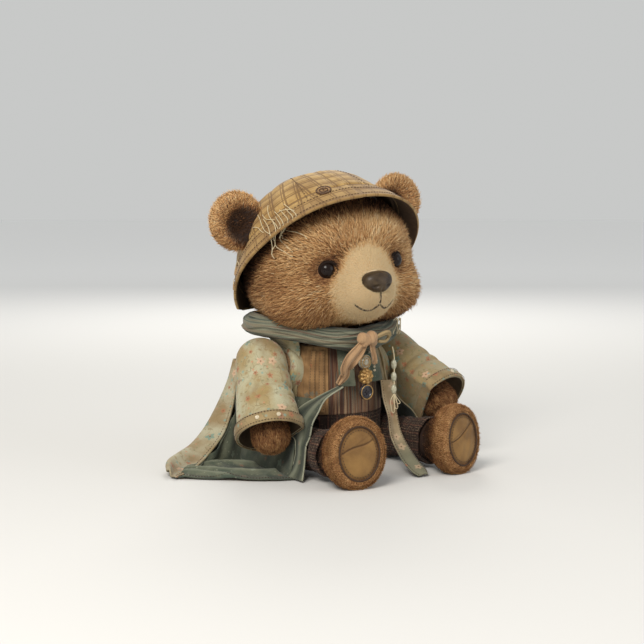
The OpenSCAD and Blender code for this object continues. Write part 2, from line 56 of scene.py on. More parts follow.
def turn(rx, ry, rz):
    """Rotation matrix: about X, then Y, then Z, in degrees."""
    a, b, c = np.radians([rx, ry, rz])
    mx = np.array([[1, 0, 0], [0, math.cos(a), -math.sin(a)], [0, math.sin(a), math.cos(a)]])
    my = np.array([[math.cos(b), 0, math.sin(b)], [0, 1, 0], [-math.sin(b), 0, math.cos(b)]])
    mz = np.array([[math.cos(c), -math.sin(c), 0], [math.sin(c), math.cos(c), 0], [0, 0, 1]])
    return mz @ my @ mx


class Place:
    """A local frame: local points to the row frame, mirrored for the right side."""

    def __init__(self, matrix, origin, mirrored=False):
        self.m, self.o, self.mirrored = matrix, np.array(origin, float), mirrored

    def __call__(self, p):
        q = np.asarray(p, float) @ self.m.T + self.o
        return q * np.array([-1, 1, 1]) if self.mirrored else q


# Centres of the head and of the joints on the bear's left side, in mm.
HEAD_AT, SHOULDER, HIP = (0, 0, 186), (56, -5, 89), (50.2, -5, 21)
HEAD_TILT, SHOULDER_TILT = turn(-2, -5, -4), turn(0, 75, 0)
HAT_TILT = turn(-41, 0, 0)
WORLD = Place(np.eye(3), (0, 0, 0))
HEAD = Place(HEAD_TILT, HEAD_AT)
HAT = Place(HEAD_TILT @ HAT_TILT, HEAD_AT)


def arm_place(side):
    """The arm's frame at its shoulder, X along the arm; each arm hangs at its own angle."""
    swing = 54 if side > 0 else 33
    return Place(SHOULDER_TILT @ turn(0, 0, -swing), SHOULDER, side < 0)


def leg_place(side):
    """The leg's frame at its hip, Z along the leg towards the foot."""
    return Place(turn(-2.4, 0, 3) @ turn(90, 0, 0), HIP, side < 0)


# ---------------------------------------------------------------- meshes


def unit(v):
    """Vectors brought to length 1."""
    return v / np.maximum(np.linalg.norm(v, axis=-1, keepdims=True), 1e-9)


def around(n):
    """n angles evenly spaced round a full turn."""
    return np.linspace(0, 2 * np.pi, n, endpoint=False)


def polar(r, a, z):
    """Points at radius r, angle a in radians and height z."""
    return stack(r * np.cos(a), r * np.sin(a), z)


def run_length(path):
    """Distance along a path of points up to each of them."""
    return np.concatenate([[0], np.cumsum(np.linalg.norm(np.diff(path, axis=0), axis=1))])


def make(name, verts, faces, mats, body, place=WORLD, mi=None, uv=None, attrs=None):
    """One mesh object from arrays: verts in mm in the place's frame, faces of one corner count."""
    v = place(verts) * MM
    faces = np.asarray(faces, np.int32)
    if place.mirrored:
        faces = faces[:, ::-1]
    n, k = faces.shape
    me = bpy.data.meshes.new(name)
    me.vertices.add(len(v))
    me.vertices.foreach_set("co", v.astype(np.float32).ravel())
    me.loops.add(n * k)
    me.loops.foreach_set("vertex_index", faces.ravel())
    me.polygons.add(n)
    me.polygons.foreach_set("loop_start", np.arange(0, n * k, k, dtype=np.int32))
    for m in mats if isinstance(mats, (list, tuple)) else [mats]:
        me.materials.append(m)
    if mi is not None:
        me.polygons.foreach_set("material_index", np.asarray(mi, np.int32))
    me.polygons.foreach_set("use_smooth", np.full(n, True))
    if uv is not None:
        layer = me.uv_layers.new(name="cloth")
        layer.data.foreach_set("uv", np.asarray(uv, np.float32)[faces.ravel()].ravel())
    for key, values in (attrs or {}).items():
        a = me.attributes.new(key, "FLOAT", "POINT")
        a.data.foreach_set("value", np.asarray(values, np.float32).ravel())
    me.update(calc_edges=True)
    me.validate()
    o = bpy.data.objects.new(name, me)
    bpy.context.scene.collection.objects.link(o)
    if body:
        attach(o, body)
    return o


def grid_faces(nu, nv, wrap_u=False, wrap_v=False):
    """Quads of an nu by nv grid whose point (i, j) has number i * nv + j."""
    i = np.arange(nu if wrap_u else nu - 1)
    j = np.arange(nv if wrap_v else nv - 1)
    i, j = [x.ravel() for x in np.meshgrid(i, j, indexing="ij")]
    i2, j2 = (i + 1) % nu, (j + 1) % nv
    return np.stack([i * nv + j, i2 * nv + j, i2 * nv + j2, i * nv + j2], 1)


def grid_normals(p, wrap_u=False):
    du = np.roll(p, -1, 0) - np.roll(p, 1, 0) if wrap_u else np.gradient(p, axis=0)
    return unit(np.cross(du, np.gradient(p, axis=1)))


def cloth(name, p, mats, body, place=WORLD, thick=1.2, wrap_u=False, uv=None, attrs=None, inner=None):
    """A closed sheet of cloth from a grid p[nu, nv, 3]; inner is the slot number of its back face."""
    nu, nv = p.shape[:2]
    n = grid_normals(p, wrap_u)
    out, back = p + n * thick / 2, p - n * thick / 2
    count = nu * nv
    f = grid_faces(nu, nv, wrap_u)
    faces = [f, f[:, ::-1] + count]
    rims = [(np.arange(nu) * nv, wrap_u), (np.arange(nu) * nv + nv - 1, wrap_u)]
    if not wrap_u:
        rims += [(np.arange(nv), False), (np.arange(nv) + (nu - 1) * nv, False)]
    for which, (r, closed) in enumerate(rims):
        a, b = (r, np.roll(r, -1)) if closed else (r[:-1], r[1:])
        q = np.stack([a, b, b + count, a + count], 1)
        faces.append(q if which in (1, 2) else q[:, ::-1])
    mi = np.zeros(sum(len(x) for x in faces), np.int32)
    if inner is not None:
        mi[len(f) : 2 * len(f)] = inner
    both = None if uv is None else np.concatenate([uv.reshape(-1, 2)] * 2)
    attrs = {k: np.concatenate([np.ravel(x)] * 2) for k, x in (attrs or {}).items()}
    v = np.concatenate([out.reshape(-1, 3), back.reshape(-1, 3)])
    faces = [x[:, ::-1] for x in faces]
    return make(name, v, np.concatenate(faces), mats, body, place, mi, both, attrs)


def lattice(nu, nv, u=(0, 1), v=(0, 1)):
    """Two grids of even steps over the ranges u and v; a range of TURN goes once round."""
    steps = [around(n) if r is TURN else np.linspace(*r, n) for n, r in ((nu, u), (nv, v))]
    return np.meshgrid(*steps, indexing="ij")


def stack(*xs):
    """Coordinates given one by one, each spread to the same shape, as points."""
    return np.stack(np.broadcast_arrays(*xs), -1).astype(float)


def tube_data(path, radius, sides=8, closed=False):
    """Verts and faces of a tube along a path of points, with pinched ends."""
    path = np.asarray(path, float)
    n = len(path)
    t = unit(np.roll(path, -1, 0) - np.roll(path, 1, 0) if closed else np.gradient(path, axis=0))
    side = np.cross(t, [0.31, 0.17, 0.94])
    bad = np.linalg.norm(side, axis=1) < 0.1
    side[bad] = np.cross(t[bad], [1, 0, 0])
    side = unit(side)
    up = np.cross(t, side)
    r = np.broadcast_to(np.asarray(radius, float), (n,)).copy()
    if not closed:
        r[[0, -1]] *= 0.15
    a = around(sides)
    ring = np.cos(a)[None, :, None] * side[:, None] + np.sin(a)[None, :, None] * up[:, None]
    v = path[:, None] + ring * r[:, None, None]
    f = grid_faces(n, sides, wrap_u=closed, wrap_v=True)
    return v.reshape(-1, 3), f


def merge(parts):
    """Joins (verts, faces) pairs into one pair."""
    vs, fs, at = [], [], 0
    for v, f in parts:
        vs.append(v)
        fs.append(f + at)
        at += len(v)
    return np.concatenate(vs), np.concatenate(fs)


def piece(name, parts, mat, body, place=WORLD, uv=None):
    """One object of (verts, faces) pairs, in one material."""
    o = make(name, *merge(parts), mat, body, place, uv=uv)
    return o


def curve(points, n=24):
    """Smooth path through points (Catmull-Rom), n steps to each stretch."""
    p = np.asarray(points, float)
    p = np.concatenate([[2 * p[0] - p[1]], p, [2 * p[-1] - p[-2]]])
    t = np.linspace(0, 1, n, endpoint=False)[:, None]
    out = []
    for a, b, c, d in zip(p, p[1:], p[2:], p[3:]):
        square, cube = 2 * a - 5 * b + 4 * c - d, 3 * b - a - 3 * c + d
        out.append(0.5 * (2 * b + (c - a) * t + square * t**2 + cube * t**3))
    return np.concatenate(out + [p[-2:-1]])


def lathe_data(profile, sides=48):
    """Verts and faces of a surface turned about local Z from (radius, z) pairs."""
    pr = np.asarray(profile, float)
    a = around(sides)
    r = np.maximum(pr[:, 0], 0.01)
    v = polar(r, a[:, None], pr[:, 1])
    return v.reshape(-1, 3), grid_faces(sides, len(pr), wrap_u=True)


def waves(x, y, seed, count=6, low=0.5, high=2.0):
    """Smooth made-up unevenness from -1 to 1, over two coordinates of about unit pitch."""
    r = np.random.default_rng(seed)
    out = 0
    for _ in range(count):
        k = r.uniform(low, high)
        a, ph = r.uniform(0, 2 * np.pi, 2)
        out = out + np.sin(k * (np.cos(a) * x + np.sin(a) * y) * 2 * np.pi + ph)
    return out / count**0.5 / 1.4


def smooth(x, a, b):
    """0 at a, 1 at b, eased between; a may be above b."""
    t = np.clip((np.asarray(x, float) - a) / (b - a), 0, 1)
    return t * t * (3 - 2 * t)


def hump(x, width):
    """1 where x is 0, falling off on both sides within about the width."""
    return np.exp(-((x / width) ** 2))


def along(path, where):
    """Points of a path at the given distances along it."""
    d = run_length(path)
    return np.stack([np.interp(where, d, path[:, i]) for i in range(3)], -1)


# ---------------------------------------------------------------- materials


class Value:
    """A socket in a material's node tree that can be added, multiplied and so on."""

    def __init__(self, look, socket):
        self.look, self.socket = look, socket

    def math(self, kind, *others):
        n = self.look.node("ShaderNodeMath", dict(enumerate((self, *others))), operation=kind)
        return Value(self.look, n.outputs[0])

    def __add__(self, x):
        return self.math("ADD", x)

    def __sub__(self, x):
        return self.math("SUBTRACT", x)

    def __mul__(self, x):
        return self.math("MULTIPLY", x)

    def __truediv__(self, x):
        return self.math("DIVIDE", x)

    def sin(self):
        return self.math("SINE")

    def frac(self):
        return self.math("FRACT")

    def abs(self):
        return self.math("ABSOLUTE")

    def step(self, a, b):
        """0 below a, 1 above b, smooth between; a may be above b."""
        flip = a > b
        n = self.look.node("ShaderNodeMapRange", {
            "Value": self, "From Min": min(a, b), "From Max": max(a, b),
            "To Min": float(flip), "To Max": float(not flip),
        }, interpolation_type="SMOOTHSTEP")
        return Value(self.look, n.outputs["Result"])

    def line(self, pitch, width, at=0.0):
        """Thin lines every pitch, of that width, as 0 to 1."""
        d = ((self / pitch + at).frac() - 0.5).abs() * (2 * pitch)
        return d.step(width, width * 0.45)


class Look:
    """A Principled material built from small pattern helpers."""

    def __init__(self, name, rough=0.85, sheen=0.0, metal=0.0, coat=0.0, specular=0.35):
        self.mat = bpy.data.materials.new(name)
        self.mat.use_nodes = True
        self.tree = self.mat.node_tree
        self.bsdf = next(n for n in self.tree.nodes if n.type == "BSDF_PRINCIPLED")
        self.fill(self.bsdf, {
            "Roughness": rough, "Sheen Weight": sheen, "Sheen Roughness": 0.5, "Metallic": metal,
            "Coat Weight": coat, "Coat Roughness": 0.08, "Specular IOR Level": specular,
        })

    def node(self, kind, inputs=None, **settings):
        """A new node with its settings, and its inputs set or linked by name or number."""
        n = self.tree.nodes.new(kind)
        for k, x in settings.items():
            setattr(n, k, x)
        self.fill(n, inputs or {})
        return n

    def fill(self, node, inputs):
        for k, x in inputs.items():
            self.put(node.inputs[k], x)

    def put(self, socket, x):
        if isinstance(x, Value):
            self.tree.links.new(x.socket, socket)
        elif isinstance(x, (tuple, list)):
            socket.default_value = (*x, 1.0) if socket.type == "RGBA" else tuple(x)
        else:
            socket.default_value = x

    def uv(self):
        """The cloth's own coordinates in mm, as (vector, u, v)."""
        n = self.node("ShaderNodeUVMap", uv_map="cloth")
        return self.split(Value(self, n.outputs[0]))

    def split(self, vector):
        s = self.node("ShaderNodeSeparateXYZ", {0: vector})
        return vector, Value(self, s.outputs[0]), Value(self, s.outputs[1])

    def place_mm(self):
        """The object's own coordinates in mm."""
        where = Value(self, self.node("ShaderNodeTexCoord").outputs["Object"])
        n = self.node("ShaderNodeVectorMath", {0: where, "Scale": 1 / MM}, operation="SCALE")
        return Value(self, n.outputs[0])

    def attr(self, name):
        n = self.node("ShaderNodeAttribute", attribute_name=name)
        return Value(self, n.outputs["Fac"])

    def noise(self, vector, scale, detail=3.0, rough=0.5, distort=0.0):
        n = self.node("ShaderNodeTexNoise", {
            "Vector": vector, "Scale": scale, "Detail": detail, "Roughness": rough,
            "Distortion": distort,
        })
        return Value(self, n.outputs["Fac"])

    def scaled(self, vector, sx, sy, sz=1.0, move=(0, 0, 0)):
        n = self.node("ShaderNodeMapping", {"Vector": vector, "Scale": (sx, sy, sz), "Location": move})
        return Value(self, n.outputs[0])

    def mix(self, amount, a, b):
        n = self.node("ShaderNodeMix", data_type="RGBA")
        self.fill(n, {0: amount, 6: a, 7: b})
        return Value(self, n.outputs[2])

    def color(self, x):
        self.put(self.bsdf.inputs["Base Color"], x)
        return self

    def bump(self, height, depth_mm, strength=0.6):
        inputs = {"Strength": strength, "Distance": depth_mm * MM, "Height": height}
        n = self.node("ShaderNodeBump", inputs)
        self.tree.links.new(n.outputs[0], self.bsdf.inputs["Normal"])
        return self

    def flowers(self, vector, cell, size, petals, seed, keep=0.6):
        """Scattered blossoms as (petal mask, heart mask, random number of the blossom)."""
        moved = self.scaled(vector, 1 / cell, 1 / cell, 1, (seed * 7.3, seed * 3.1, 0))
        v = self.node("ShaderNodeTexVoronoi", voronoi_dimensions="2D", feature="F1")
        self.fill(v, {"Vector": moved, "Scale": 1.0, "Randomness": 0.85})
        cell_at, tint = Value(self, v.outputs["Position"]), Value(self, v.outputs["Color"])
        d = self.node("ShaderNodeVectorMath", {0: moved, 1: cell_at}, operation="SUBTRACT")
        _, x, y = self.split(Value(self, d.outputs[0]))
        pick = self.node("ShaderNodeSeparateColor", {0: tint})
        r1, r2 = Value(self, pick.outputs[0]), Value(self, pick.outputs[1])
        angle = y.math("ARCTAN2", x)
        dist = Value(self, v.outputs["Distance"]) * cell
        edge = ((angle * petals + r2 * 6.0).sin() * 0.22 + 0.85) * (r1 * 0.7 + 0.55) * size
        mask = (dist - edge).step(0.35, -0.35) * r2.step(keep, keep - 0.02)
        heart = (dist - size * 0.24).step(0.25, -0.25) * mask
        return mask, heart, r1


def plain(name, color, **kw):
    """A material of one colour."""
    return Look(name, **kw).color(color).mat


# Strand tones, from dark to pale, used together on every furry piece; the darkest, fur_shadow, also serves
# as painted shade.
FUR = [
    plain("fur_shadow", (0.055, 0.026, 0.013), rough=0.75, specular=0.2),
    plain("fur_russet", (0.21, 0.090, 0.036), rough=0.7, specular=0.25),
    plain("fur_brown", (0.38, 0.190, 0.075), rough=0.7, specular=0.25),
    plain("fur_honey", (0.56, 0.315, 0.130), rough=0.65, specular=0.3),
    plain("fur_straw", (0.72, 0.470, 0.225), rough=0.65, specular=0.3),
    plain("fur_cream", (0.78, 0.60, 0.35), rough=0.7, specular=0.25),
]


def fur(name, p, n, comb, length, width, tone, body, place=WORLD, lift=0.45, mess=0.25):
    """Tapered, bent strands on points p with normals n, combed along comb; tone picks from FUR."""
    k = len(p)
    comb = unit(comb - (comb * n).sum(1, keepdims=True) * n)
    comb = unit(comb + rng.normal(0, mess, (k, 3)))
    length = np.broadcast_to(length, (k,)) * rng.uniform(0.7, 1.2, k)
    width = np.broadcast_to(width, (k,)) * rng.uniform(0.8, 1.2, k)
    lift = np.broadcast_to(lift, (k,))[:, None]
    d1 = unit(n * (lift + 0.25) + comb * (1 - lift))
    d2 = unit(n * (lift - 0.15) + comb * (1.15 - lift) + rng.normal(0, mess * 0.4, (k, 3)))
    base = p - n * 0.4
    mid = base + d1 * (length * 0.5)[:, None]
    tip = mid + d2 * (length * 0.5)[:, None]
    side = unit(np.cross(d1, n + 0.01))
    up = np.cross(side, d1)
    w = width[:, None] / 2
    ring = [side * math.cos(a) + up * math.sin(a) for a in (0.5, 2.6, 4.7)]
    rows = [base + r * w for r in ring] + [mid + r * w * 0.8 for r in ring] + [tip]
    v = np.stack(rows, 1).reshape(-1, 3)
    pat = np.array([[0, 1, 4], [0, 4, 3], [1, 2, 5], [1, 5, 4], [2, 0, 3], [2, 3, 5],
                    [3, 4, 6], [4, 5, 6], [5, 3, 6], [0, 2, 1]])
    f = (pat[None] + (np.arange(k) * 7)[:, None, None]).reshape(-1, 3)
    mi = np.repeat(np.clip(tone, 0, len(FUR) - 1).astype(int), len(pat))
    return make(name, v, f, FUR, body, place, mi)


def sphere_points(n):
    """n directions spread evenly over a sphere."""
    i = np.arange(n) + 0.5
    z = 1 - 2 * i / n
    a = np.pi * (1 + 5**0.5) * i
    r = np.sqrt(1 - z * z)
    return np.stack([r * np.cos(a), r * np.sin(a), z], 1)


# ---------------------------------------------------------------- head


def head_field(p):
    """About the distance in mm from the head's skin, in the head's frame."""
    x, y, z = p[..., 0], p[..., 1], p[..., 2]
    side = np.hypot(y, z)
    skull = (((np.abs(x) / 76) ** 2.2 + (side / 67) ** 2.2) ** (1 / 2.2) - 1) * 67

    def ball(cx, cy, cz, rx, ry, rz, k):
        q = np.sqrt(((x - cx) / rx) ** 2 + ((y - cy) / ry) ** 2 + ((z - cz) / rz) ** 2)
        return (q - 1) * k

    def join(a, b, k):
        h = np.clip(0.5 + 0.5 * (b - a) / k, 0, 1)
        return b * (1 - h) + a * h - k * h * (1 - h)

    muzzle, bridge = ball(0, -50, -27, 31, 36, 28, 29), ball(0, -54, -9, 24, 18, 21, 20)
    f = join(join(skull, muzzle, 12), bridge, 10)
    for s in (-1, 1):
        cheek = ball(s * 40, -26, -32, 33, 33, 28, 30)
        brow = ball(s * 25, -52, 17, 17, 13, 11, 12)
        socket = ball(s * 36.5, -68, -4.5, 11, 11, 9.5, 10)
        f = np.maximum(join(join(f, cheek, 12), brow, 10), -socket - 2)
    return f


def head_surface(d):
    """Skin points and normals in the head's frame, along unit directions d."""
    lo, hi = np.full(len(d), 20.0), np.full(len(d), 110.0)
    for _ in range(26):
        m = (lo + hi) / 2
        inside = head_field(d * m[:, None]) < 0
        lo, hi = np.where(inside, m, lo), np.where(inside, hi, m)
    p = d * lo[:, None]
    e = 0.5
    g = [head_field(p + e * np.eye(3)[i]) - head_field(p - e * np.eye(3)[i]) for i in range(3)]
    return p, unit(np.stack(g, 1))


EYES = [(-35.5, -58.0, -4.5), (35.5, -58.0, -4.5)]
# Heights in mm that the head's skin and its fur stay above, clear of the scarf.
HEAD_FLOOR, FUR_FLOOR, MUZZLE_FLOOR = 122.4, 127.5, 131


def pale_amount(p):
    """How cream the fur is: 1 on the dome of the muzzle, falling off round its edge."""
    x, y, z = p[:, 0], p[:, 1], p[:, 2]
    low = np.sqrt((x / 34) ** 2 + ((z + 25) / 30) ** 2)
    high = np.sqrt((x / 23) ** 2 + ((z + 8) / 21) ** 2)
    m = np.minimum(low, high)
    return smooth(m, 1.14, 0.84) * (y < -35)


def under_hat(p):
    """Height above the brim's edge along the hat's axis, for points in the head's frame."""
    return (p @ HAT_TILT)[:, 2]


def head_tone(p):
    """Mean strand tone on the head, as a number along FUR: darker low and at the eyes, with painted shade
    under the hat's brim and at the neck below the chin.
    """
    x, y, z = p[:, 0], p[:, 1], p[:, 2]
    t = 3.25 + 0.5 * waves(x / 60, z / 60, 3)
    t = t + 0.55 * smooth(z, 10, 45)
    t = t - 1.5 * smooth(z, -22, -60) * smooth(np.abs(x), 10, 40)
    t = t - 0.8 * smooth(np.abs(x), 58, 74)
    eye = np.min([np.linalg.norm(p - np.array(e), axis=1) for e in EYES], axis=0)
    t = t - 1.5 * smooth(eye, 17, 9)
    t = t - 1.2 * smooth(np.abs(np.abs(x) - 27), 8, 2) * smooth(np.abs(z + 2), 22, 6) * (y < -45)
    pale = pale_amount(p)
    t = t * (1 - pale) + 5.1 * pale
    # Painted shade: the fur under the hat's brim turns near black.
    t = t - 3.4 * smooth(under_hat(p), -17, 3)
    # Painted shade: the fur at the neck, under the chin, turns near black.
    t = t - 2.6 * smooth(z, -50, -64)
    return t


def build_head():
    """The skin of the head with its muzzle, the fur, and the short pale fur of the muzzle."""
    nu, nv = 220, 150
    lon, lat = lattice(nu, nv, TURN, (0.02, np.pi - 0.02))
    d = stack(np.sin(lat) * np.cos(lon), -np.cos(lat), np.sin(lat) * np.sin(lon)).reshape(-1, 3)
    p, _ = head_surface(d)
    world = HEAD(p)
    drop = world[:, 2] < HEAD_FLOOR
    p[drop] += (HEAD_FLOOR - world[drop, 2])[:, None] * HEAD.m[2]
    skin = Look("head_skin", rough=0.85, sheen=0.2)
    where = skin.place_mm()
    blotch = skin.noise(where, 0.25, 4.0)
    base = skin.mix(blotch, (0.17, 0.075, 0.032), (0.36, 0.19, 0.085))
    base = skin.mix(skin.attr("pale"), base, skin.mix(blotch, (0.56, 0.42, 0.25), (0.70, 0.56, 0.36)))
    # Painted shade: the dark attribute turns the skin near black under the hat and at the neck below the
    # chin.
    base = skin.mix(skin.attr("dark"), base, (0.035, 0.018, 0.012))
    skin.color(base).bump(skin.noise(where, 1.6, 2.0), 0.6)
    # Where the painted shade falls: under the hat's brim and at the neck below the chin.
    dark = np.maximum(smooth(under_hat(p), -12, 4), smooth(p[:, 2], -48, -60))
    faces = grid_faces(nu, nv, wrap_u=True)[:, ::-1]
    o = make("head", p, faces, skin.mat, "head", HEAD, attrs={"pale": pale_amount(p), "dark": dark})
    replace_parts(o, "head_shell", "muzzle")

    d = sphere_points(62000)
    p, n = head_surface(d)
    world = HEAD(p)
    eye = np.min([np.linalg.norm(p - np.array(e), axis=1) for e in EYES], axis=0)
    keep = (under_hat(p) < 12) & (world[:, 2] > FUR_FLOOR) & (eye > 8.2)
    keep &= pale_amount(p) < 0.93
    p, n, eye = p[keep], n[keep], eye[keep]
    flow = unit(p - np.array([0, -88, -22]))
    flow = flow + np.array([0, 0.25, -0.25]) * smooth(np.abs(p[:, 0]), 25, 60)[:, None]
    length = 8.5 - 3.5 * smooth(eye, 22, 9) - 4.0 * pale_amount(p)
    length = length * (1 - 0.35 * smooth(under_hat(p), -12, 8))
    length = np.where(p[:, 2] < -48, 5.0, length)
    tone = np.rint(head_tone(p) + rng.normal(0, 0.75, len(p)))
    parts = np.array_split(rng.permutation(len(p)), 3)
    for i, s in enumerate(parts):
        o = fur(f"head_fur_{i + 1}", p[s], n[s], flow[s], length[s], 0.62, tone[s], "head", HEAD, 0.36)

    d = sphere_points(150000)
    d = d[(d[:, 1] < -0.45) & (np.abs(d[:, 0]) < 0.62) & (d[:, 2] < 0.45)]
    p, n = head_surface(d)
    pale = pale_amount(p)
    keep = (pale > 0.25) & (HEAD(p)[:, 2] > MUZZLE_FLOOR)
    keep &= np.linalg.norm((p - np.array([0, -84, -17])) / np.array([13.5, 12, 9]), axis=1) > 1
    p, n, pale = p[keep], n[keep], pale[keep]
    flow = unit(p - np.array([0, -92, -18]))
    tone = np.rint(head_tone(p) + 0.15 + rng.normal(0, 0.45, len(p)))
    length = (3.0 + 2.6 * (1 - pale)) * (0.5 + 0.5 * smooth(HEAD(p)[:, 2], 130, 144))
    o = fur("muzzle_fur", p + n * 0.2, n, flow, length, 0.5, tone, "head", HEAD, 0.34, 0.22)


build_head()


# ---------------------------------------------------------------- face


def face_y(x, z):
    """Depth of the face's skin straight behind (x, z), in the head's frame."""
    x, z = np.broadcast_arrays(np.asarray(x, float), np.asarray(z, float))
    lo, hi = np.full(x.shape, -115.0), np.full(x.shape, -30.0)
    for _ in range(22):
        m = (lo + hi) / 2
        out = head_field(stack(x, m, z)) > 0
        lo, hi = np.where(out, m, lo), np.where(out, hi, m)
    return lo


def ball_mesh(name, centre, size, mat, body, place, power=2.0, shape=None, n=(56, 36), flat=False):
    """A round lump; shape(p) may bend its unit form; flat lays cloth coordinates straight on it."""
    lon, lat = lattice(*n, TURN, (0.01, np.pi - 0.01))

    def pw(x):
        return np.sign(x) * np.abs(x) ** (2 / power)

    p = stack(pw(np.sin(lat)) * pw(np.cos(lon)), pw(np.sin(lat)) * pw(np.sin(lon)), pw(np.cos(lat)))
    p = p.reshape(-1, 3)
    if shape:
        p = shape(p)
    v = np.array(centre) + p * np.array(size)
    faces = grid_faces(*n, wrap_u=True)[:, ::-1]
    return make(name, v, faces, mat, body, place, uv=v[:, [0, 2]] if flat else None)


def build_face():
    """Glass eyes in dark lids, the leather nose and the stitched mouth."""
    eye = Look("eye_black", rough=0.13, specular=0.2)
    where = eye.place_mm()
    eye.color(eye.mix(eye.noise(where, 0.35, 2.0), (0.003, 0.002, 0.002), (0.016, 0.008, 0.005)))
    lid = plain("eyelid", (0.014, 0.008, 0.006), rough=0.75, specular=0.1)
    made = []
    for side, at in zip(("right", "left"), EYES):
        made.append(ball_mesh(f"eye_{side}", at, (7.6, 7.6, 7.6), eye.mat, "head", HEAD))
        a = around(60)
        x, z = at[0] + 7.3 * np.cos(a), at[2] + 7.0 * np.sin(a)
        rim = stack(x, face_y(x, z) - 0.3, z)
        lash = tube_data(rim, 1.3 + 0.5 * np.sin(a), 10, closed=True)
        piece(f"eyelid_{side}", [lash], lid, "head", HEAD)
    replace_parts(made[0], "eyes")

    leather = Look("nose_leather", rough=0.42, coat=0.08, specular=0.3)
    where = leather.place_mm()
    tint = leather.noise(where, 0.16, 3.0)
    grain = leather.noise(where, 2.4, 3.0)
    leather.color(leather.mix(tint.step(0.25, 0.85), (0.020, 0.011, 0.005), (0.070, 0.044, 0.020)))
    leather.bump(grain, 0.35, 0.5)

    def nose_shape(p):
        p = p.copy()
        p[:, 0] *= 1 + 0.10 * p[:, 2] - 0.16 * smooth(-p[:, 2], 0.0, 1.0)
        for s in (-1, 1):
            d = np.hypot((p[:, 0] - s * 0.44) / 0.24, (p[:, 2] + 0.30) / 0.17)
            p[:, 1] += 0.17 * smooth(d, 1.2, 0.3) * (p[:, 1] < 0)
        p[:, 1] += 0.08 * smooth(np.abs(p[:, 0]), 0.12, 0.0) * smooth(-p[:, 2], 0.1, 0.6) * (p[:, 1] < 0)
        return p

    o = ball_mesh("nose_tip", (0, -81.5, -19), (14.2, 10.2, 9.8), leather.mat, "head", HEAD, 2.3,
                  nose_shape, (96, 64))
    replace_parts(o, "nose")

    thread = plain("mouth_thread", (0.030, 0.014, 0.009), rough=0.6)
    parts = [stack(0, 0, np.linspace(-27.5, -38, 14))]
    t = np.linspace(0, 1, 26)
    for s, reach in ((-1, 21.0), (1, 19.0)):
        parts.append(stack(s * reach * t, 0, -38 - 5.2 * np.sin(np.pi * t**0.9) + 2.2 * t**3))
    tubes = []
    for q in parts:
        q[:, 1] = face_y(q[:, 0], q[:, 2]) - 0.25
        tubes.append(tube_data(q, 0.95, 8))
    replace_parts(piece("mouth", tubes, thread, "head", HEAD), "mouth_stitch")


build_face()

# ---------------------------------------------------------------- ears

EAR, EAR_RADIUS = (86.0, 4.0, 44.0), 24.5


def ear_point(side, r, a, front):
    """Point of an ear's skin: r from 0 to 1, a round it, on its front or its back."""
    x = side * EAR[0] + EAR_RADIUS * r * np.cos(a) * 1.02
    z = EAR[2] + EAR_RADIUS * r * np.sin(a)
    dish = -6.0 * smooth(r, 0.25, 0.92) + 1.5
    edge = np.sqrt(np.clip(1 - r**4, 0, 1))
    y = np.where(front, dish * edge - 1.5 * (1 - edge), 6.5 * edge)
    return stack(x, EAR[1] + y, z)


def build_ears():
    """Two dished round ears, dark and bare in the hollow of each."""
    skin = Look("ear_skin", rough=0.9)
    where = skin.place_mm()
    shade = skin.noise(where, 0.5, 3.0)
    tone = skin.mix(shade, (0.16, 0.085, 0.045), (0.30, 0.19, 0.105))
    skin.color(skin.mix(skin.attr("dark"), tone, (0.022, 0.014, 0.012))).bump(shade, 0.5)
    for side, word in ((-1, "right"), (1, "left")):
        r, a = lattice(26, 72, (0.02, 1), TURN)
        f = ear_point(side, r, a, True)
        b = ear_point(side, r, a, False)[::-1]
        p = np.concatenate([f, b[1:]])
        n = len(p)
        near = np.hypot((p[..., 0] - side * (EAR[0] - 8)) / 16, (p[..., 2] - EAR[2] + 6) / 16)
        front = (np.arange(n) < 26)[:, None]
        dark = smooth(near, 1.25, 0.75) * front
        faces = grid_faces(n, 72, wrap_v=True)
        o = make(f"ear_{word}_skin", p.reshape(-1, 3), faces[:, ::-1], skin.mat, "head", HEAD,
                 attrs={"dark": dark})
        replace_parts(o, f"ear_{word}")
        if side < 0:
            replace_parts(o, "ear_linings")
        k = 9000
        r = np.sqrt(rng.uniform(0, 1.0, k))
        a = rng.uniform(0, 2 * np.pi, k)
        front = rng.uniform(0, 1, k) < 0.55
        p = ear_point(side, r, a, front)
        c = np.array([side * EAR[0], EAR[1], EAR[2]])
        out = unit(p - c)
        rim = r[:, None] ** 4
        facing = np.where(front, -1, 1)[:, None] * np.array([0, 1, 0])
        n = unit(out * np.array([1, 0, 1]) * (rim + 0.05) + facing * (1.02 - rim))
        near = np.hypot((p[:, 0] - side * (EAR[0] - 8)) / 16, (p[:, 2] - EAR[2] + 6) / 16)
        inner = smooth(near, 1.3, 0.8) * front
        tone = 2.6 + 0.9 * smooth(r, 0.5, 1.0) - 3.4 * inner - 0.8 * smooth(-(p[:, 2] - c[2]), 0, 22)
        tone = np.rint(tone + rng.normal(0, 0.75, k))
        length = 5.0 + 1.2 * smooth(r, 0.75, 1.0) - 1.5 * inner
        comb = out * np.array([1, 0.2, 1]) + np.array([side * 0.2, 0, 0.25])
        o = fur(f"ear_{word}_fur", p, n, comb, length, 0.6, tone, "head", HEAD, 0.38, 0.3)


build_ears()

# ---------------------------------------------------------------- cloth patterns

CREAM, OCHRE, CORAL = (0.45, 0.43, 0.29), (0.33, 0.24, 0.105), (0.40, 0.145, 0.075)


def weave(x, y, pitch):
    """Over and under of plain woven thread, 0 to 1."""
    return (x * (math.pi / pitch)).sin().abs() * 0.5 + (y * (math.pi / pitch)).sin().abs() * 0.5


def plain_weave(name, cloud, low, high, pitch, rough=0.95, depth=0.3):
    """Plain cloth in one clouded tone; cloud is the (scale, detail) of its noise."""
    k = Look(name, rough=rough)
    v, x, y = k.uv()
    k.color(k.mix(k.noise(v, *cloud), low, high))
    return k.bump(weave(x, y, pitch), depth, 0.5).mat


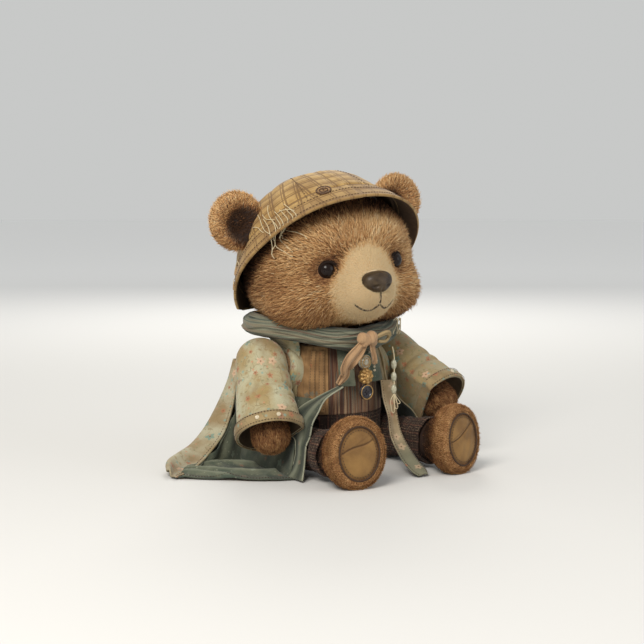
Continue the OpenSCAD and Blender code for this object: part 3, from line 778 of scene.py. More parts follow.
def floral(name, ground, second, seed, density=0.55):
    """Printed cotton: coral and teal blossoms, leaves and thin stems on a worn ground."""
    k = Look(name, rough=0.9, sheen=0.12)
    v, x, y = k.uv()
    cloud = k.noise(v, 0.035, 4.0, 0.55)
    base = k.mix(cloud.step(0.35, 0.65), ground, second)
    stem = (k.noise(v, 0.075, 2.0, 0.5, 0.6) - 0.5).abs().step(0.014, 0.006)
    base = k.mix(stem * 0.55, base, (0.20, 0.15, 0.07))
    leaf, _, r = k.flowers(v, 6.4, 1.5, 2, seed + 3, 0.5)
    base = k.mix(leaf * 0.7, base, k.mix(r, (0.16, 0.20, 0.11), (0.33, 0.22, 0.10)))
    bloom, heart, r = k.flowers(v, 12.0, 3.6, 5, seed, density)
    petal = k.mix(r.step(0.5, 0.6), CORAL, (0.13, 0.26, 0.22))
    petal = k.mix(r.step(0.8, 0.84), petal, (0.66, 0.42, 0.28))
    base = k.mix(bloom * 0.72, base, petal)
    base = k.mix(heart * 0.8, base, (0.20, 0.10, 0.04))
    bud, _, r = k.flowers(v, 7.5, 1.5, 5, seed + 8, 0.45)
    base = k.mix(bud * 0.7, base, k.mix(r.step(0.4, 0.5), (0.50, 0.22, 0.12), (0.20, 0.33, 0.28)))
    stain = k.noise(v, 0.02, 5.0, 0.6).step(0.50, 0.72)
    base = k.mix(stain * 0.55, base, (0.20, 0.125, 0.055))
    fine = k.noise(v, 1.3, 3.0)
    base = k.mix(fine.step(0.3, 0.8) * 0.22, base, (0.12, 0.085, 0.04))
    # Painted shade in the valleys of folds, carried by a point attribute.
    base = k.mix(k.attr("valley") * 0.35, base, (0.09, 0.055, 0.025))
    k.color(base)
    return k.bump(weave(x, y, 0.75) * 0.6 + fine, 0.25, 0.5).mat


def teal_cloth(name, seed, dim=1.0):
    """The coat's printed teal lining; the third argument, below 1, darkens it all over as painted shade."""
    k = Look(name, rough=0.88, sheen=0.15)
    v, x, y = k.uv()
    cloud = k.noise(v, 0.05, 4.0, 0.6)
    base = k.mix(cloud.step(0.3, 0.7), (0.052, 0.072, 0.050), (0.17, 0.175, 0.115))
    bloom, _, r = k.flowers(v, 13.0, 2.6, 5, seed, 0.4)
    base = k.mix(bloom * 0.6, base, k.mix(r.step(0.5, 0.6), (0.42, 0.20, 0.12), (0.30, 0.36, 0.27)))
    dots, _, _ = k.flowers(v, 5.0, 0.6, 1, seed + 4, 0.4)
    base = k.mix(dots * 0.55, base, (0.42, 0.42, 0.30))
    fine = k.noise(v, 1.2, 3.0)
    base = k.mix(fine.step(0.3, 0.8) * 0.3, base, (0.03, 0.04, 0.03))
    # Painted shade: the whole cloth is dimmed towards near black.
    if dim < 1:
        base = k.mix(1 - dim, base, (0.012, 0.016, 0.012))
    # Painted light on the ridges of folds and painted shade in their valleys.
    base = k.mix(k.attr("ridge") * 0.45, base, (0.26, 0.27, 0.19))
    base = k.mix(k.attr("valley") * 0.6, base, (0.012, 0.018, 0.014))
    k.color(base)
    return k.bump(weave(x, y, 0.7) * 0.6 + fine, 0.25, 0.5).mat


def hat_cloth(name, low=False):
    """Ochre plaid with double brown lines; low is the darker cloth of the brim."""
    k = Look(name, rough=0.8, sheen=0.1)
    v, x, y = k.uv()
    cloud = k.noise(v, 0.04, 4.0, 0.6)
    base = k.mix(cloud.step(0.3, 0.7), (0.27, 0.155, 0.048), (0.52, 0.34, 0.125))
    slub = k.noise(k.scaled(v, 0.25, 1.6), 1.0, 3.0).step(0.45, 0.7)
    base = k.mix(slub * 0.10, base, (0.62, 0.45, 0.22))
    slub = k.noise(k.scaled(v, 1.6, 0.25), 1.0, 3.0).step(0.5, 0.75)
    base = k.mix(slub * 0.10, base, (0.22, 0.125, 0.045))
    fine = x.line(2.9, 0.5) + y.line(2.7, 0.5)
    base = k.mix(fine.step(0.1, 1.6) * 0.28, base, (0.17, 0.09, 0.03))
    lines = x.line(13.0, 2.6) + x.line(13.0, 1.4, 0.2) + y.line(11.5, 2.6, 0.3) + y.line(11.5, 1.4, 0.52)
    wobble = k.noise(v, 0.35, 2.0) * 0.7 + 0.55
    base = k.mix((lines * wobble).step(0.05, 0.9) * 0.72, base, (0.12, 0.058, 0.018))
    stain = k.noise(v, 0.018, 5.0, 0.6).step(0.48, 0.72)
    base = k.mix(stain * 0.6, base, (0.19, 0.10, 0.035))
    if low:
        base = k.mix(0.35, base, (0.20, 0.11, 0.04))
    k.color(base)
    return k.bump(weave(x, y, 2.4) * 0.8 + k.noise(v, 0.9, 3.0), 0.22, 0.4).mat


def striped(name, tones, pitch, seed, run_along="x", ripple=0.35):
    """Yarn-dyed stripes of made-up widths, in the tones given."""
    k = Look(name, rough=0.9, sheen=0.12)
    v, x, y = k.uv()
    run = (0.02, 1.0) if run_along == "x" else (1.0, 0.02)
    flow = k.scaled(v, run[1] / pitch, run[0] / pitch, 1, (seed, seed * 0.37, 0))
    a = k.noise(flow, 1.0, 2.0, 0.6)
    b = k.noise(flow, 2.7, 1.0, 0.5)
    base = k.mix(a.step(0.44, 0.50), tones[0], tones[1])
    base = k.mix(a.step(0.56, 0.60), base, tones[2])
    base = k.mix(b.step(0.60, 0.64) * 0.85, base, tones[3])
    base = k.mix(b.step(0.38, 0.34) * 0.8, base, tones[4])
    fine = k.noise(v, 1.1, 3.0)
    base = k.mix(fine.step(0.3, 0.8) * 0.35, base, (0.025, 0.016, 0.010))
    k.color(base)
    return k.bump(weave(x, y, 0.8) * ripple + fine, 0.3, 0.6).mat


def trouser_cloth(name):
    """Dark brown tweed with a broken pale check."""
    k = Look(name, rough=0.92, sheen=0.03)
    v, x, y = k.uv()
    base = k.mix(k.noise(v, 0.08, 3.0), (0.011, 0.007, 0.005), (0.038, 0.018, 0.011))
    base = k.mix((x.line(7.8, 2.2) * 0.55), base, (0.085, 0.030, 0.018))
    broken = k.noise(v, 0.55, 2.0).step(0.42, 0.60)
    warp = x.line(2.6, 0.42)
    weft = y.line(3.1, 0.42, 0.25)
    patch = k.noise(v, 0.035, 2.0).step(0.30, 0.50)
    base = k.mix((warp + weft * 0.8).step(0.2, 1.0) * broken * patch * 0.9, base, (0.27, 0.185, 0.115))
    k.color(base)
    return k.bump(weave(x, y, 1.3) + k.noise(v, 1.5, 2.0), 0.4, 0.6).mat


def stitch_line(path, gap=3.0, long=1.9, radius=0.42):
    """Short raised stitches that follow a path of points."""
    path = np.asarray(path, float)
    starts = np.arange(gap / 2, run_length(path)[-1] - long, gap)
    where = starts[:, None] + np.linspace(0, 1, 5) * long
    return merge([tube_data(q, radius, 6) for q in along(path, where)])


THREAD = plain("linen_thread", (0.62, 0.52, 0.33), rough=0.7)
DARK_THREAD = plain("brown_thread", (0.055, 0.030, 0.016), rough=0.7)

# ---------------------------------------------------------------- hat

# The hat's outline from its top to its rim, as radius and height in the hat's frame.
HAT_CURVE = np.array([
    (0, 73), (12, 72.6), (24, 71), (38, 67), (49, 61.5), (58.5, 54.5), (66.8, 43.5), (73.4, 32),
    (78.8, 20.4), (82.6, 12), (86.2, 5), (90.4, -2.6), (92.2, -5.4),
], float)
HAT_FLOOR = 139.9
# Where the brim folds, along the outline; the first seam and the width of a panel, in degrees.
BRIM_FOLD, FIRST_SEAM, PANEL = 103.5, 16.1, 45


def hat_rows(n, start=0.0, end=1.0):
    """Evenly spaced (radius, height, length so far) along the hat's outline."""
    d = run_length(HAT_CURVE)
    s = np.linspace(start * d[-1], end * d[-1], n)
    return np.interp(s, d, HAT_CURVE[:, 0]), np.interp(s, d, HAT_CURVE[:, 1]), s


def hat_point(turn_deg, s_row, r, h, off=0.0):
    """A point of the hat's cloth: eight soft bulges, dents, and a rim cut level at the neck."""
    a = np.radians(turn_deg)
    panel = np.abs(np.sin(4 * a + 0.5))
    rise = np.clip((h + 6) / 70, 0, 1)
    bulge = (panel**0.6 - 0.75) * 1.6 * smooth(h, 6, 22) * smooth(r, 6, 30)
    dent = waves(turn_deg / 40, s_row / 42, 5, 5, 0.4, 1.1) * 0.9 * smooth(r, 4, 40)
    ridge = -1.3 * smooth(np.abs(s_row - BRIM_FOLD), 2.2, 0.0)
    grow = bulge + dent * (1 - 0.4 * rise) + ridge + off
    p = stack((r + grow * 0.85) * np.sin(a), -(r + grow * 0.85) * np.cos(a), h + grow * 0.5)
    w = HAT(p)
    low = w[..., 2] < HAT_FLOOR
    w[..., 2] = np.where(low, HAT_FLOOR + 0.15 * np.clip(w[..., 2] - HAT_FLOOR, -6, 0), w[..., 2])
    return w


def build_hat():
    """The bowler of eight tweed panels, its brim, seams and mending threads."""
    tweed, rim_cloth = hat_cloth("hat_tweed"), hat_cloth("hat_rim_tweed", low=True)
    lining = plain_weave("hat_lining", (0.2, 4.0), (0.05, 0.028, 0.016), (0.14, 0.085, 0.045), 1.2)
    nu = 288
    for name, start, end, nv, thick, cloth_mat in (
        ("hat_crown_cloth", 0.0, 0.842, 90, 1.8, tweed),
        ("hat_brim_cloth", 0.838, 1.0, 26, 2.4, rim_cloth),
    ):
        r, h, s = hat_rows(nv, start, end)
        a = np.linspace(0, 360, nu, endpoint=False)[:, None]
        off = 0.0 if start == 0 else 0.5
        p = hat_point(a, s[None], r[None], h[None], off)
        panel = np.floor((a - FIRST_SEAM) / PANEL)
        middle = FIRST_SEAM + PANEL / 2 + PANEL * panel
        uv = stack(np.radians(a - middle) * r[None] + 52 * panel + 6.5, s[None])
        o = cloth(name, p[::-1], [cloth_mat, lining], "head", thick=thick, wrap_u=True, uv=uv[::-1],
                  inner=1)
        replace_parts(o, "hat_crown" if start == 0 else "hat_brim")
    rows = []
    for share in (0.865, 0.965):
        r, h, s = hat_rows(2, share, share)
        a = np.linspace(0, 360, 700)
        q = hat_point(a, s[0], r[0], h[0], 1.9)
        q = q[q[:, 2] > HAT_FLOOR + 1]
        rows.append(stitch_line(q, 3.1, 2.0, 0.36))
    for a0 in np.arange(8) * PANEL + FIRST_SEAM:
        r, h, s = hat_rows(60, 0.06, 0.83)
        q = hat_point(np.full(60, a0), s, r, h, 1.1)
        rows.append(stitch_line(q, 3.6, 2.1, 0.32))
    piece("hat_stitches", rows, DARK_THREAD, "head")

    def on_hat(turn_deg, share, off):
        r, h, s = hat_rows(2, share, share)
        return hat_point(np.array([float(turn_deg)]), s[0], r[0], h[0], off)[0]

    tubes = []
    for i, (t0, s0, t1, s1) in enumerate((
        (-71, 0.74, -60, 0.90), (-66, 0.66, -57, 0.97), (-62, 0.70, -52, 0.86), (-55, 0.64, -53, 0.99),
        (-50, 0.76, -40, 0.90), (-97, 0.80, -88, 0.93), (-104, 0.90, -92, 0.80), (-112, 0.84, -100, 0.97),
    )):
        k = np.linspace(0, 1, 7)
        t = t0 + (t1 - t0) * k + 1.3 * np.sin(5 * k + i)
        places = zip(t, s0 + (s1 - s0) * k, 1.3 + 1.6 * np.sin(np.pi * k))
        path = [on_hat(*at) for at in places]
        tubes.append(tube_data(curve(path, 12), 0.33, 7))
    for i, (t0, dx, dz) in enumerate((
        (-57, 5, -16), (-53, 11, -19), (-50, -3, -14), (-48, 9, -9), (-45, 3, -21), (-42, 13, -13),
        (-40, -6, -12),
    )):
        path = [on_hat(t0 - 4 + i % 3, 0.74 + 0.03 * (i % 3), 1.3), on_hat(t0 - 1, 0.87, 2.4),
                on_hat(t0, 0.99, 2.2)]
        edge = (on_hat(t0, 1.0, 0) - HEAD.o) @ HEAD.m
        for k in (0.25, 0.5, 0.75, 1.0):
            x = edge[0] + dx * k + 1.6 * math.sin(6 * k + 2 * i)
            z = edge[2] - 4 + dz * k
            path.append(HEAD(np.array([x, float(face_y(x, z)) - 4.6 - 1.2 * (1 - k), z])))
        tubes.append(tube_data(curve(path, 12), 0.33, 7))
    piece("hat_mending_threads", tubes, THREAD, "head")


build_hat()

# ---------------------------------------------------------------- scarf

SCARF_TONES = [(0.088, 0.105, 0.078), (0.21, 0.215, 0.150), (0.20, 0.170, 0.110), (0.17, 0.105, 0.072),
               (0.038, 0.038, 0.027)]


SCARF_LOW, SCARF_INNER = 117.2, 36.0


def scarf_top(x, y):
    """Height of the scarf's upper edge: high at the sides and back, dipping to the knot."""
    lift = 3.4 * smooth(np.abs(x), 28, 60) * smooth(y, 34, -20)
    return np.minimum(138.9, 126.0 + 0.1335 * (y + 76) + lift)


def off_front(a):
    """Angle between the direction a and straight ahead."""
    return np.abs((a + np.pi / 2 + np.pi) % (2 * np.pi) - np.pi)


def scarf_low(a):
    """Height of its lower edge in the direction a: swagged at the front, under the knot."""
    return SCARF_LOW - 12.5 * hump(np.degrees(off_front(a)), 46)


def scarf_reach(a):
    """Outer radius of the scarf: in front, a circle centred 15 mm behind the neck."""
    c, s = np.cos(a), np.sin(a)
    front = 15 * s + np.sqrt(78**2 - (15 * c) ** 2)
    return np.minimum(77.0, front - 0.4)


def build_scarf():
    """The pleated wrap round the neck, its knot and two tails, and loose threads."""
    wool = striped("scarf_weave", SCARF_TONES, 4.6, 5, run_along="y", ripple=0.6)
    nu, nv = 360, 120
    a, t = lattice(nu, nv, TURN, TURN)
    reach = scarf_reach(a)
    top = scarf_top(reach * np.cos(a), reach * np.sin(a))
    wide = (reach - SCARF_INNER) / 2
    c, s = np.cos(t), np.sin(t)
    rr = SCARF_INNER + wide + wide * np.sign(c) * np.abs(c) ** 0.75
    low = SCARF_LOW - (SCARF_LOW - scarf_low(a)) * smooth(rr, 44, 58)
    mid, half = (top + low) / 2, (top - low) / 2
    zz = mid + half * np.sign(s) * np.abs(s) ** 0.8
    side = (zz - mid) / half
    slant = -2.2 * np.clip(side, -1, 1) * smooth(c, 0.2, 0.9)
    near = 1 + 0.5 * hump(off_front(a), 0.6)
    lines = side * 5.2 * near + 1.1 * np.sin(2 * a + 1) + 0.7 * waves(a * 2.0, side * 0.8, 8)
    pleat = 1 - np.abs(np.sin(lines)) ** 0.7
    second = 1 - np.abs(np.sin(lines * 1.7 + 1.3 * np.sin(3 * a))) ** 0.8
    depth = smooth(c, -0.1, 0.35)
    rr = rr + slant - depth * (2.5 * pleat + 1.2 * second)
    zz = zz - 0.9 * (1 - np.sin(7 * a + 3 * np.sin(a))) * smooth(s, 0.55, 0.95)
    zz = np.minimum(zz, 119.8 + (rr - 34.5) * 0.58)
    twist = 0.5 * np.sin(2 * a + 1.0) + 0.35 * np.sin(5 * a)
    p = polar(rr, a, zz)
    faces = grid_faces(nu, nv, wrap_u=True, wrap_v=True)
    uv = stack(a * 68, t * 12.5 + 3 * twist)
    o = make("scarf_wrap", p.reshape(-1, 3), faces, wool, "torso", uv=uv.reshape(-1, 2))
    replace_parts(o, "scarf")

    tan = Look("scarf_tan_cloth", rough=0.88, sheen=0.15)
    v, x, y = tan.uv()
    base = tan.mix(tan.noise(v, 0.09, 4.0), (0.30, 0.165, 0.075), (0.52, 0.34, 0.19))
    stripe = tan.noise(tan.scaled(v, 1.2, 0.08), 1.0, 3.0).step(0.45, 0.7)
    base = tan.mix(stripe * 0.5, base, (0.20, 0.10, 0.05))
    tan.color(base).bump(weave(x, y, 0.8) + tan.noise(v, 1.4, 3.0), 0.3, 0.6)

    def knot_shape(p):
        p = p.copy()
        ridge = np.sin(5.5 * (p[:, 0] * 0.9 - p[:, 2] * 0.5) + 2.5 * p[:, 2] ** 2)
        waist = 0.30 * smooth(np.abs(p[:, 0] + 0.1), 0.5, 0.0) * np.abs(p[:, 2])
        p *= (0.95 + 0.07 * ridge - waist)[:, None]
        return p

    o = ball_mesh("scarf_knot_cloth", (-4, -69.5, 118.4), (10.6, 6.4, 7.6), tan.mat, "torso", WORLD, 2.4,
                  knot_shape, (96, 64), flat=True)
    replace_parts(o, "scarf_knot")

    def tail(name, path, widths, node, seed, flat):
        """A hanging end of the scarf: half widths along a path, with soft folds."""
        c = curve(path, 10)
        n, m = len(c), 22
        run = unit(np.gradient(c, axis=0))
        across = unit(np.cross(run, [0.25, -0.9, 0.2]))
        out = np.cross(across, run)
        w = np.interp(np.linspace(0, 1, n), np.linspace(0, 1, len(widths)), widths)
        k = np.linspace(-1, 1, m)
        s = np.linspace(0, 1, n)
        fold = 1.7 * np.sin(k[None] * 5.2 + seed + 1.2 * s[:, None]) * (0.5 + 0.5 * s[:, None])
        if np.any(out[:, 1] > 0):
            out = -out
        spread = k[None] * w[:, None]
        p = c[:, None] + across[:, None] * spread[..., None] + out[:, None] * (fold + 0.6)[..., None]
        uv = stack(spread * 1.2, s[:, None] * flat[0] * 1000)
        o = cloth(name, p, tan.mat, "torso", thick=1.1, uv=uv)
        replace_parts(o, node)

    tail("scarf_tail_right", [(-7, -69, 117), (-14, -68, 108), (-21, -66, 100), (-24, -63, 93),
                              (-23.5, -60.5, 87), (-28, -57, 79)],
         [3.5, 6.0, 7.0, 7.2, 5.5, 2.0], "scarf_tail_long", 0.4, (0.044, 0.0165))
    tail("scarf_tail_left", [(-1, -70, 116), (1, -69.5, 109), (3.5, -68.5, 102), (5, -67, 96)],
         [3.4, 4.6, 4.6, 2.6], "scarf_tail_short", 2.0, (0.022, 0.0125))
    loops = []
    for pts in (
        [(3, -71, 119), (9, -74, 122), (15, -73.5, 122.5), (18, -71, 119), (14, -71, 115.5),
         (6, -71, 116)],
        [(4, -72, 120.5), (10, -75.4, 124), (16, -74, 124), (20, -70.5, 120)],
    ):
        loops.append(tube_data(curve(pts, 12), 1.5, 10))
    loop_cloth = plain("scarf_loop_cloth", (0.33, 0.24, 0.12), rough=0.85)
    piece("scarf_loop", loops, loop_cloth, "torso")
    threads = []
    for i in range(5):
        a0 = math.radians(-52 + 5.0 * i)
        ring = []
        turns = ((-0.05, 131), (0.0, 133), (0.05, 130), (0.02, 125), (-0.04, 121.5), (-0.02, 118.5))
        for j, (da, z) in enumerate(turns):
            q = a0 + da + 0.03 * math.sin(3 * i + j)
            rad = scarf_reach(q) + (1.1 if j not in (0, 5) else 0.2)
            ring.append((rad * math.cos(q), rad * math.sin(q), z - 0.6 * i))
        threads.append(tube_data(curve(ring, 10), 0.34, 6))
    piece("scarf_mending_threads", threads, THREAD, "torso")


build_scarf()

# ---------------------------------------------------------------- clothes on the body


# Height of the coat's waist seam, and how far its skirt hangs below it.
WAIST, SKIRT_DROP = 60, 58.4


def body_at(z):
    """Radius of the stuffed body at height z."""
    z = np.asarray(z, float)
    low = 50 * (1 - np.clip((42 - z) / 52, 0, 1) ** 2.4) ** (1 / 2.4)
    high = 50 * (1 - np.clip((z - 42) / 84, 0, 1) ** 3) ** (1 / 3)
    return np.where(z < 42, low, high)


def body_cloth(name, a, z, off, mats, thick, node, wrinkle, n=(80, 50), inner=None, hem=None):
    """Cloth that follows the body between angles a (degrees) and heights z."""
    A, T = lattice(n[0], n[1], a, (0, 1))
    Z = z[0] + (z[1] - z[0]) * T
    if hem is not None:
        Z = hem(A) + (z[1] - hem(A)) * T
    R = body_at(np.maximum(Z, WAIST if hem is not None else 0)) + off
    p = polar(R + wrinkle(A, Z), np.radians(A), Z)
    uv = stack(np.radians(A) * 50, Z)
    o = cloth(name, p, mats, "torso", thick=thick, uv=uv, inner=inner)
    for k in node if isinstance(node, tuple) else (node,):
        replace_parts(o, k)
    return o


SHIRT_TONES = [(0.085, 0.036, 0.022), (0.22, 0.115, 0.06), (0.36, 0.24, 0.14), (0.13, 0.13, 0.10),
               (0.028, 0.016, 0.012)]


def build_body_clothes():
    """Shirt, waistcoat, the coat's back and skirt, its collar and front edges."""
    shirt = striped("shirt_cotton", SHIRT_TONES, 2.6, 2, ripple=0.3)
    o = body_cloth("shirt_front", (-180, 0), (49.6, 111), 1.0, shirt, 1.0, "shirt",
                   lambda A, Z: 0.25 * np.sin(A * 0.9) * smooth(Z, 90, 55))

    vest = Look("waistcoat_cloth", rough=0.9, sheen=0.12)
    v, x, y = vest.uv()
    cloud = vest.noise(v, 0.07, 4.0, 0.6)
    base = vest.mix(cloud.step(0.3, 0.7), (0.17, 0.092, 0.036), (0.33, 0.190, 0.080))
    bloom, _, r = vest.flowers(v, 9.0, 2.2, 5, 6, 0.3)
    petal = vest.mix(r.step(0.5, 0.6), (0.34, 0.12, 0.05), (0.10, 0.14, 0.12))
    base = vest.mix(bloom * 0.5, base, petal)
    base = vest.mix(x.line(6.5, 0.5) * 0.5, base, (0.10, 0.05, 0.02))
    vest.color(base).bump(weave(x, y, 0.9) + vest.noise(v, 1.3, 3.0), 0.3, 0.6)
    o = body_cloth("waistcoat_front", (192, 237), (50, 110), 2.7, vest.mat, 1.4, "waistcoat",
                   lambda A, Z: 0.35 * np.sin(A * 0.55 + Z * 0.04))
    rows = []
    for i, a0 in enumerate((218.5, 227.5)):
        A, Z = lattice(14, 70, (a0, a0 + 5.6), (52.5, 106.5))
        k = (A - a0 - 2.8) / 2.8
        R = body_at(Z) + 4.1 + 0.5 * (1 - k**2)
        p = polar(R, np.radians(A), Z)
        o = cloth(f"waistcoat_placket_{i + 1}", p, vest.mat, "torso", thick=1.1,
                  uv=stack(np.radians(A) * 50 + 3.3, Z))
        if i == 0:
            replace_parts(o, "waistcoat_placket")
        for edge in (a0 + 0.7, a0 + 4.9):
            z = np.linspace(53, 106, 80)
            rows.append(stitch_line(polar(body_at(z) + 4.9, np.radians(edge), z), 2.4, 1.5, 0.28))
    piece("waistcoat_stitches", rows, DARK_THREAD, "torso")

    coat = floral("coat_cotton", CREAM, OCHRE, 2, 0.5)
    teal = teal_cloth("coat_lining", 3)

    def hem(A):
        down = smooth(A, 23, 36) * (1 - smooth(A, 144, 157))
        return WAIST - SKIRT_DROP * down

    def hang(A, Z):
        """The coat's back flares towards the floor in soft folds."""
        t = np.clip((WAIST - Z) / SKIRT_DROP, 0, 1)
        flare = np.interp(1 - t, [0, 0.08, 0.36, 0.7, 1], [27.5, 24.0, 14.5, 7.5, 0])
        fold = (np.sin(np.radians(A) * 13 + 1.3 * np.sin(A * 0.05)) - 1) * 1.9 * t
        shoulder = hump(A + 5, 30) + hump(A - 185, 30)
        reach = np.interp(Z, [98, 104, 108, 112, 117.4], [52, 50, 51, 54, 61.5])
        yoke = shoulder * np.clip(reach - body_at(Z) - 4.7, 0, None) * smooth(Z, 96, 104)
        return flare + fold + yoke + 0.35 * np.sin(A * 0.35 + Z * 0.08) * (1 - t)

    o = body_cloth("coat_back", (-48, 206), (WAIST, 117.4), 4.7, [coat, teal], 1.7,
                   ("coat_body", "coat_skirt"), hang, (240, 110), 1, hem)
    z = np.linspace(4, 110, 140)
    middle = np.full(140, 90.0)
    R = body_at(np.maximum(z, WAIST)) + 5.75 + hang(middle, z)
    seams = [stitch_line(polar(R, np.radians(middle + d), z), 2.6, 1.7, 0.28) for d in (-1.6, 1.6)]
    A = np.linspace(34, 148, 300)
    z = hem(A) + 5.0
    R = body_at(WAIST) + 5.9 + hang(A, z)
    seams.append(stitch_line(polar(R, np.radians(A), z), 2.8, 1.8, 0.3))
    piece("coat_stitches", seams, DARK_THREAD, "torso")

    for i, (a0, a1, low) in enumerate(((246.5, 262.5, 75.5), (279.5, 301.5, 77.5))):
        def roll(A, Z, a0=a0, a1=a1):
            k = (A - a0) / (a1 - a0)
            return 0.9 * np.sin(np.pi * k) + 0.35 * np.sin(Z * 0.3 + 4 * k)

        o = body_cloth(f"collar_{i + 1}", (a0, a1), (low, 111), 6.7, teal, 1.5,
                       "coat_collar" if i == 0 else (), roll, (36, 60))
    facing = Look("coat_facing", rough=0.9, sheen=0.12)
    v, x, y = facing.uv()
    base = facing.mix(facing.noise(v, 0.07, 4.0).step(0.3, 0.7), (0.21, 0.15, 0.07), (0.42, 0.33, 0.19))
    stripe = facing.noise(facing.scaled(v, 0.9, 0.03), 1.0, 2.0).step(0.46, 0.6)
    base = facing.mix(stripe * 0.7, base, (0.10, 0.08, 0.05))
    facing.color(base).bump(weave(x, y, 0.8) + facing.noise(v, 1.2, 3.0), 0.3, 0.6)
    for i, (a0, a1) in enumerate(((301, 312), (311, 327))):
        def edge_fold(A, Z, i=i):
            return 0.8 * np.sin((A - 300) * 0.55 + i) + 0.3 * np.sin(Z * 0.2)

        o = body_cloth(f"coat_front_edge_{i + 1}", (a0, a1), (60.5, 111.5), 6.2 + 0.9 * i, facing.mat,
                       1.5, (), edge_fold, (30, 60))


build_body_clothes()

# ---------------------------------------------------------------- sleeves and arms

# The arm's axis stands this far off the body's side of its frame; then its length points and radii.
ARM_W, SLEEVE_R = 19.5, 24.0
CUFF_AT, CUFF_LONG = 59.8, 10.5
PAW_AT, PAW_R, PAW_LONG = 69, 15.4, 15.6


def sleeve_r(t):
    """Radius of the sleeve t mm down the arm; its top is half a ball."""
    cap = np.sqrt(np.clip(SLEEVE_R**2 - t**2, 0, None))
    return np.where(t < 0, cap, np.interp(t, [0, 10, 35, 70], [SLEEVE_R, 24.2, 26.2, 30]))


def sleeve_point(t, th, off, side):
    """Sleeve cloth in the arm's frame: wide folds, a creased elbow and the flat inner side."""
    r = sleeve_r(t)
    room = smooth(t, -21, 4)
    soft = 0.9 + 0.9 * waves(th * 1.1, t / 34, 20 + side, 5, 0.4, 1.2)
    soft = soft + 0.8 * np.sin(3 * th + t / 17 + side)
    elbow = hump(t - 36 - 7 * np.cos(th), 2.6) + 0.7 * hump(t - 45 - 5 * np.cos(th), 2.2)
    inner_side = smooth(np.cos(th), 0.1, -0.9)
    rings = hump(t - 14 - 4 * np.sin(th), 2.4) * 0.7
    d = room * (np.clip(soft, 0, 2.6) * (1 - smooth(t, 52, 62) * 0.75) + 2.3 * elbow * inner_side + rings)
    r = np.maximum(r - d + off, 0.05)
    return stack(t, r * np.cos(th), np.maximum(ARM_W + r * np.sin(th), 1.9))


def small_button(place, at, way, r):
    """Verts and faces of a little domed button standing on a cloth."""
    outline = [(0, 1.1), (r * 0.55, 1.0), (r * 0.7, 1.25), (r, 0.9), (r, 0.2), (r * 0.9, -0.4), (0, -0.4)]
    v, f = lathe_data(outline, 20)
    way = unit(np.asarray(way, float))
    side = unit(np.cross(way, [0.2, 0.9, 0.1]))
    up = np.cross(way, side)
    return place(np.asarray(at) + v @ np.stack([side, up, way])), f


def build_arm(side):
    """A sleeve with its hem, stitches and buttons, its armhole on the coat, and the paw."""
    word = "left" if side > 0 else "right"
    body, place = f"arm_{word}", arm_place(side)
    # The bear's left sleeve gets a darker ground: painted shade on the side turned from the key light.
    ground = CREAM if side < 0 else (0.33, 0.28, 0.17)
    coat = floral(f"sleeve_cotton_{word}", ground, OCHRE, 5 + side, 0.6)
    hem_cloth = floral(f"hem_cotton_{word}", (0.34, 0.25, 0.125), (0.22, 0.15, 0.07), 9 + side, 0.4)
    lining = plain_weave(f"sleeve_lining_{word}", (0.15, 3.0), (0.05, 0.032, 0.018), (0.13, 0.09, 0.05),
                         0.9, depth=0.25)
    nu = 180
    th = around(nu)[:, None]
    cap = SLEEVE_R * np.sin(np.linspace(-np.pi / 2 + 0.05, 0, 20))
    t = np.concatenate([cap, np.linspace(0, 69.4, 100)[1:]])[None]
    p = sleeve_point(t, th, -0.8, side)
    uv = stack(th * 27, t * 1.05)
    o = cloth(f"sleeve_{word}_cloth", p, [coat, lining], body, place, 1.6, True, uv, inner=1)
    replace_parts(o, f"sleeve_{word}")
    t = np.linspace(CUFF_AT, CUFF_AT + CUFF_LONG, 14)[None]
    k = (t - CUFF_AT) / CUFF_LONG
    r = 30.0 + 0.9 * np.sin(np.pi * k) + 0.5 * waves(th * 1.3, t / 30, 31 + side, 4, 0.5, 1.2)
    p = stack(t, r * np.cos(th), np.maximum(ARM_W + r * np.sin(th), 1.15))
    o = cloth(f"sleeve_{word}_hem", p, [hem_cloth, lining], body, place, 1.2, True,
              stack(th * 30, t), inner=1)
    rows = []
    a = np.linspace(-0.6, np.pi + 0.6, 420)
    for tt, rr in ((60.9, 31.6), (68.9, 31.7)):
        ring = stack(tt, rr * np.cos(a), np.maximum(ARM_W + rr * np.sin(a), 0.9))
        rows.append(stitch_line(place(ring), 2.7, 1.7, 0.33))
    piece(f"sleeve_{word}_stitches", rows, DARK_THREAD, body)
    knobs = []
    for tt, ang in ((64.8, 2.15), (64.8, 2.75), (30.0, 0.55)):
        rr = float(sleeve_r(np.array(tt))) + (1.5 if tt > 50 else -1.2)
        way = np.array([0.05, math.cos(ang), math.sin(ang)])
        at = np.array([tt, rr * math.cos(ang), ARM_W + rr * math.sin(ang)])
        knobs.append(small_button(place, at, way, 1.9))
    piece(f"sleeve_{word}_buttons", knobs, PEARL, body)
    round_shoulder = Place(SHOULDER_TILT, SHOULDER, side < 0)
    outline = [(15.7, -4), (15.9, -1.4), (18, -0.8), (20.6, -0.9), (21.6, -2.4), (22.2, -6), (21.5, -14)]
    v, f = lathe_data(outline, 96)
    a = np.arctan2(v[:, 1], v[:, 0])
    uv = stack(np.abs(a) * 22, np.hypot(v[:, 0], v[:, 1]) - v[:, 2])
    piece(f"armhole_{word}", [(v, f)], coat, "torso", round_shoulder, uv)
    build_paw(word, body, place)


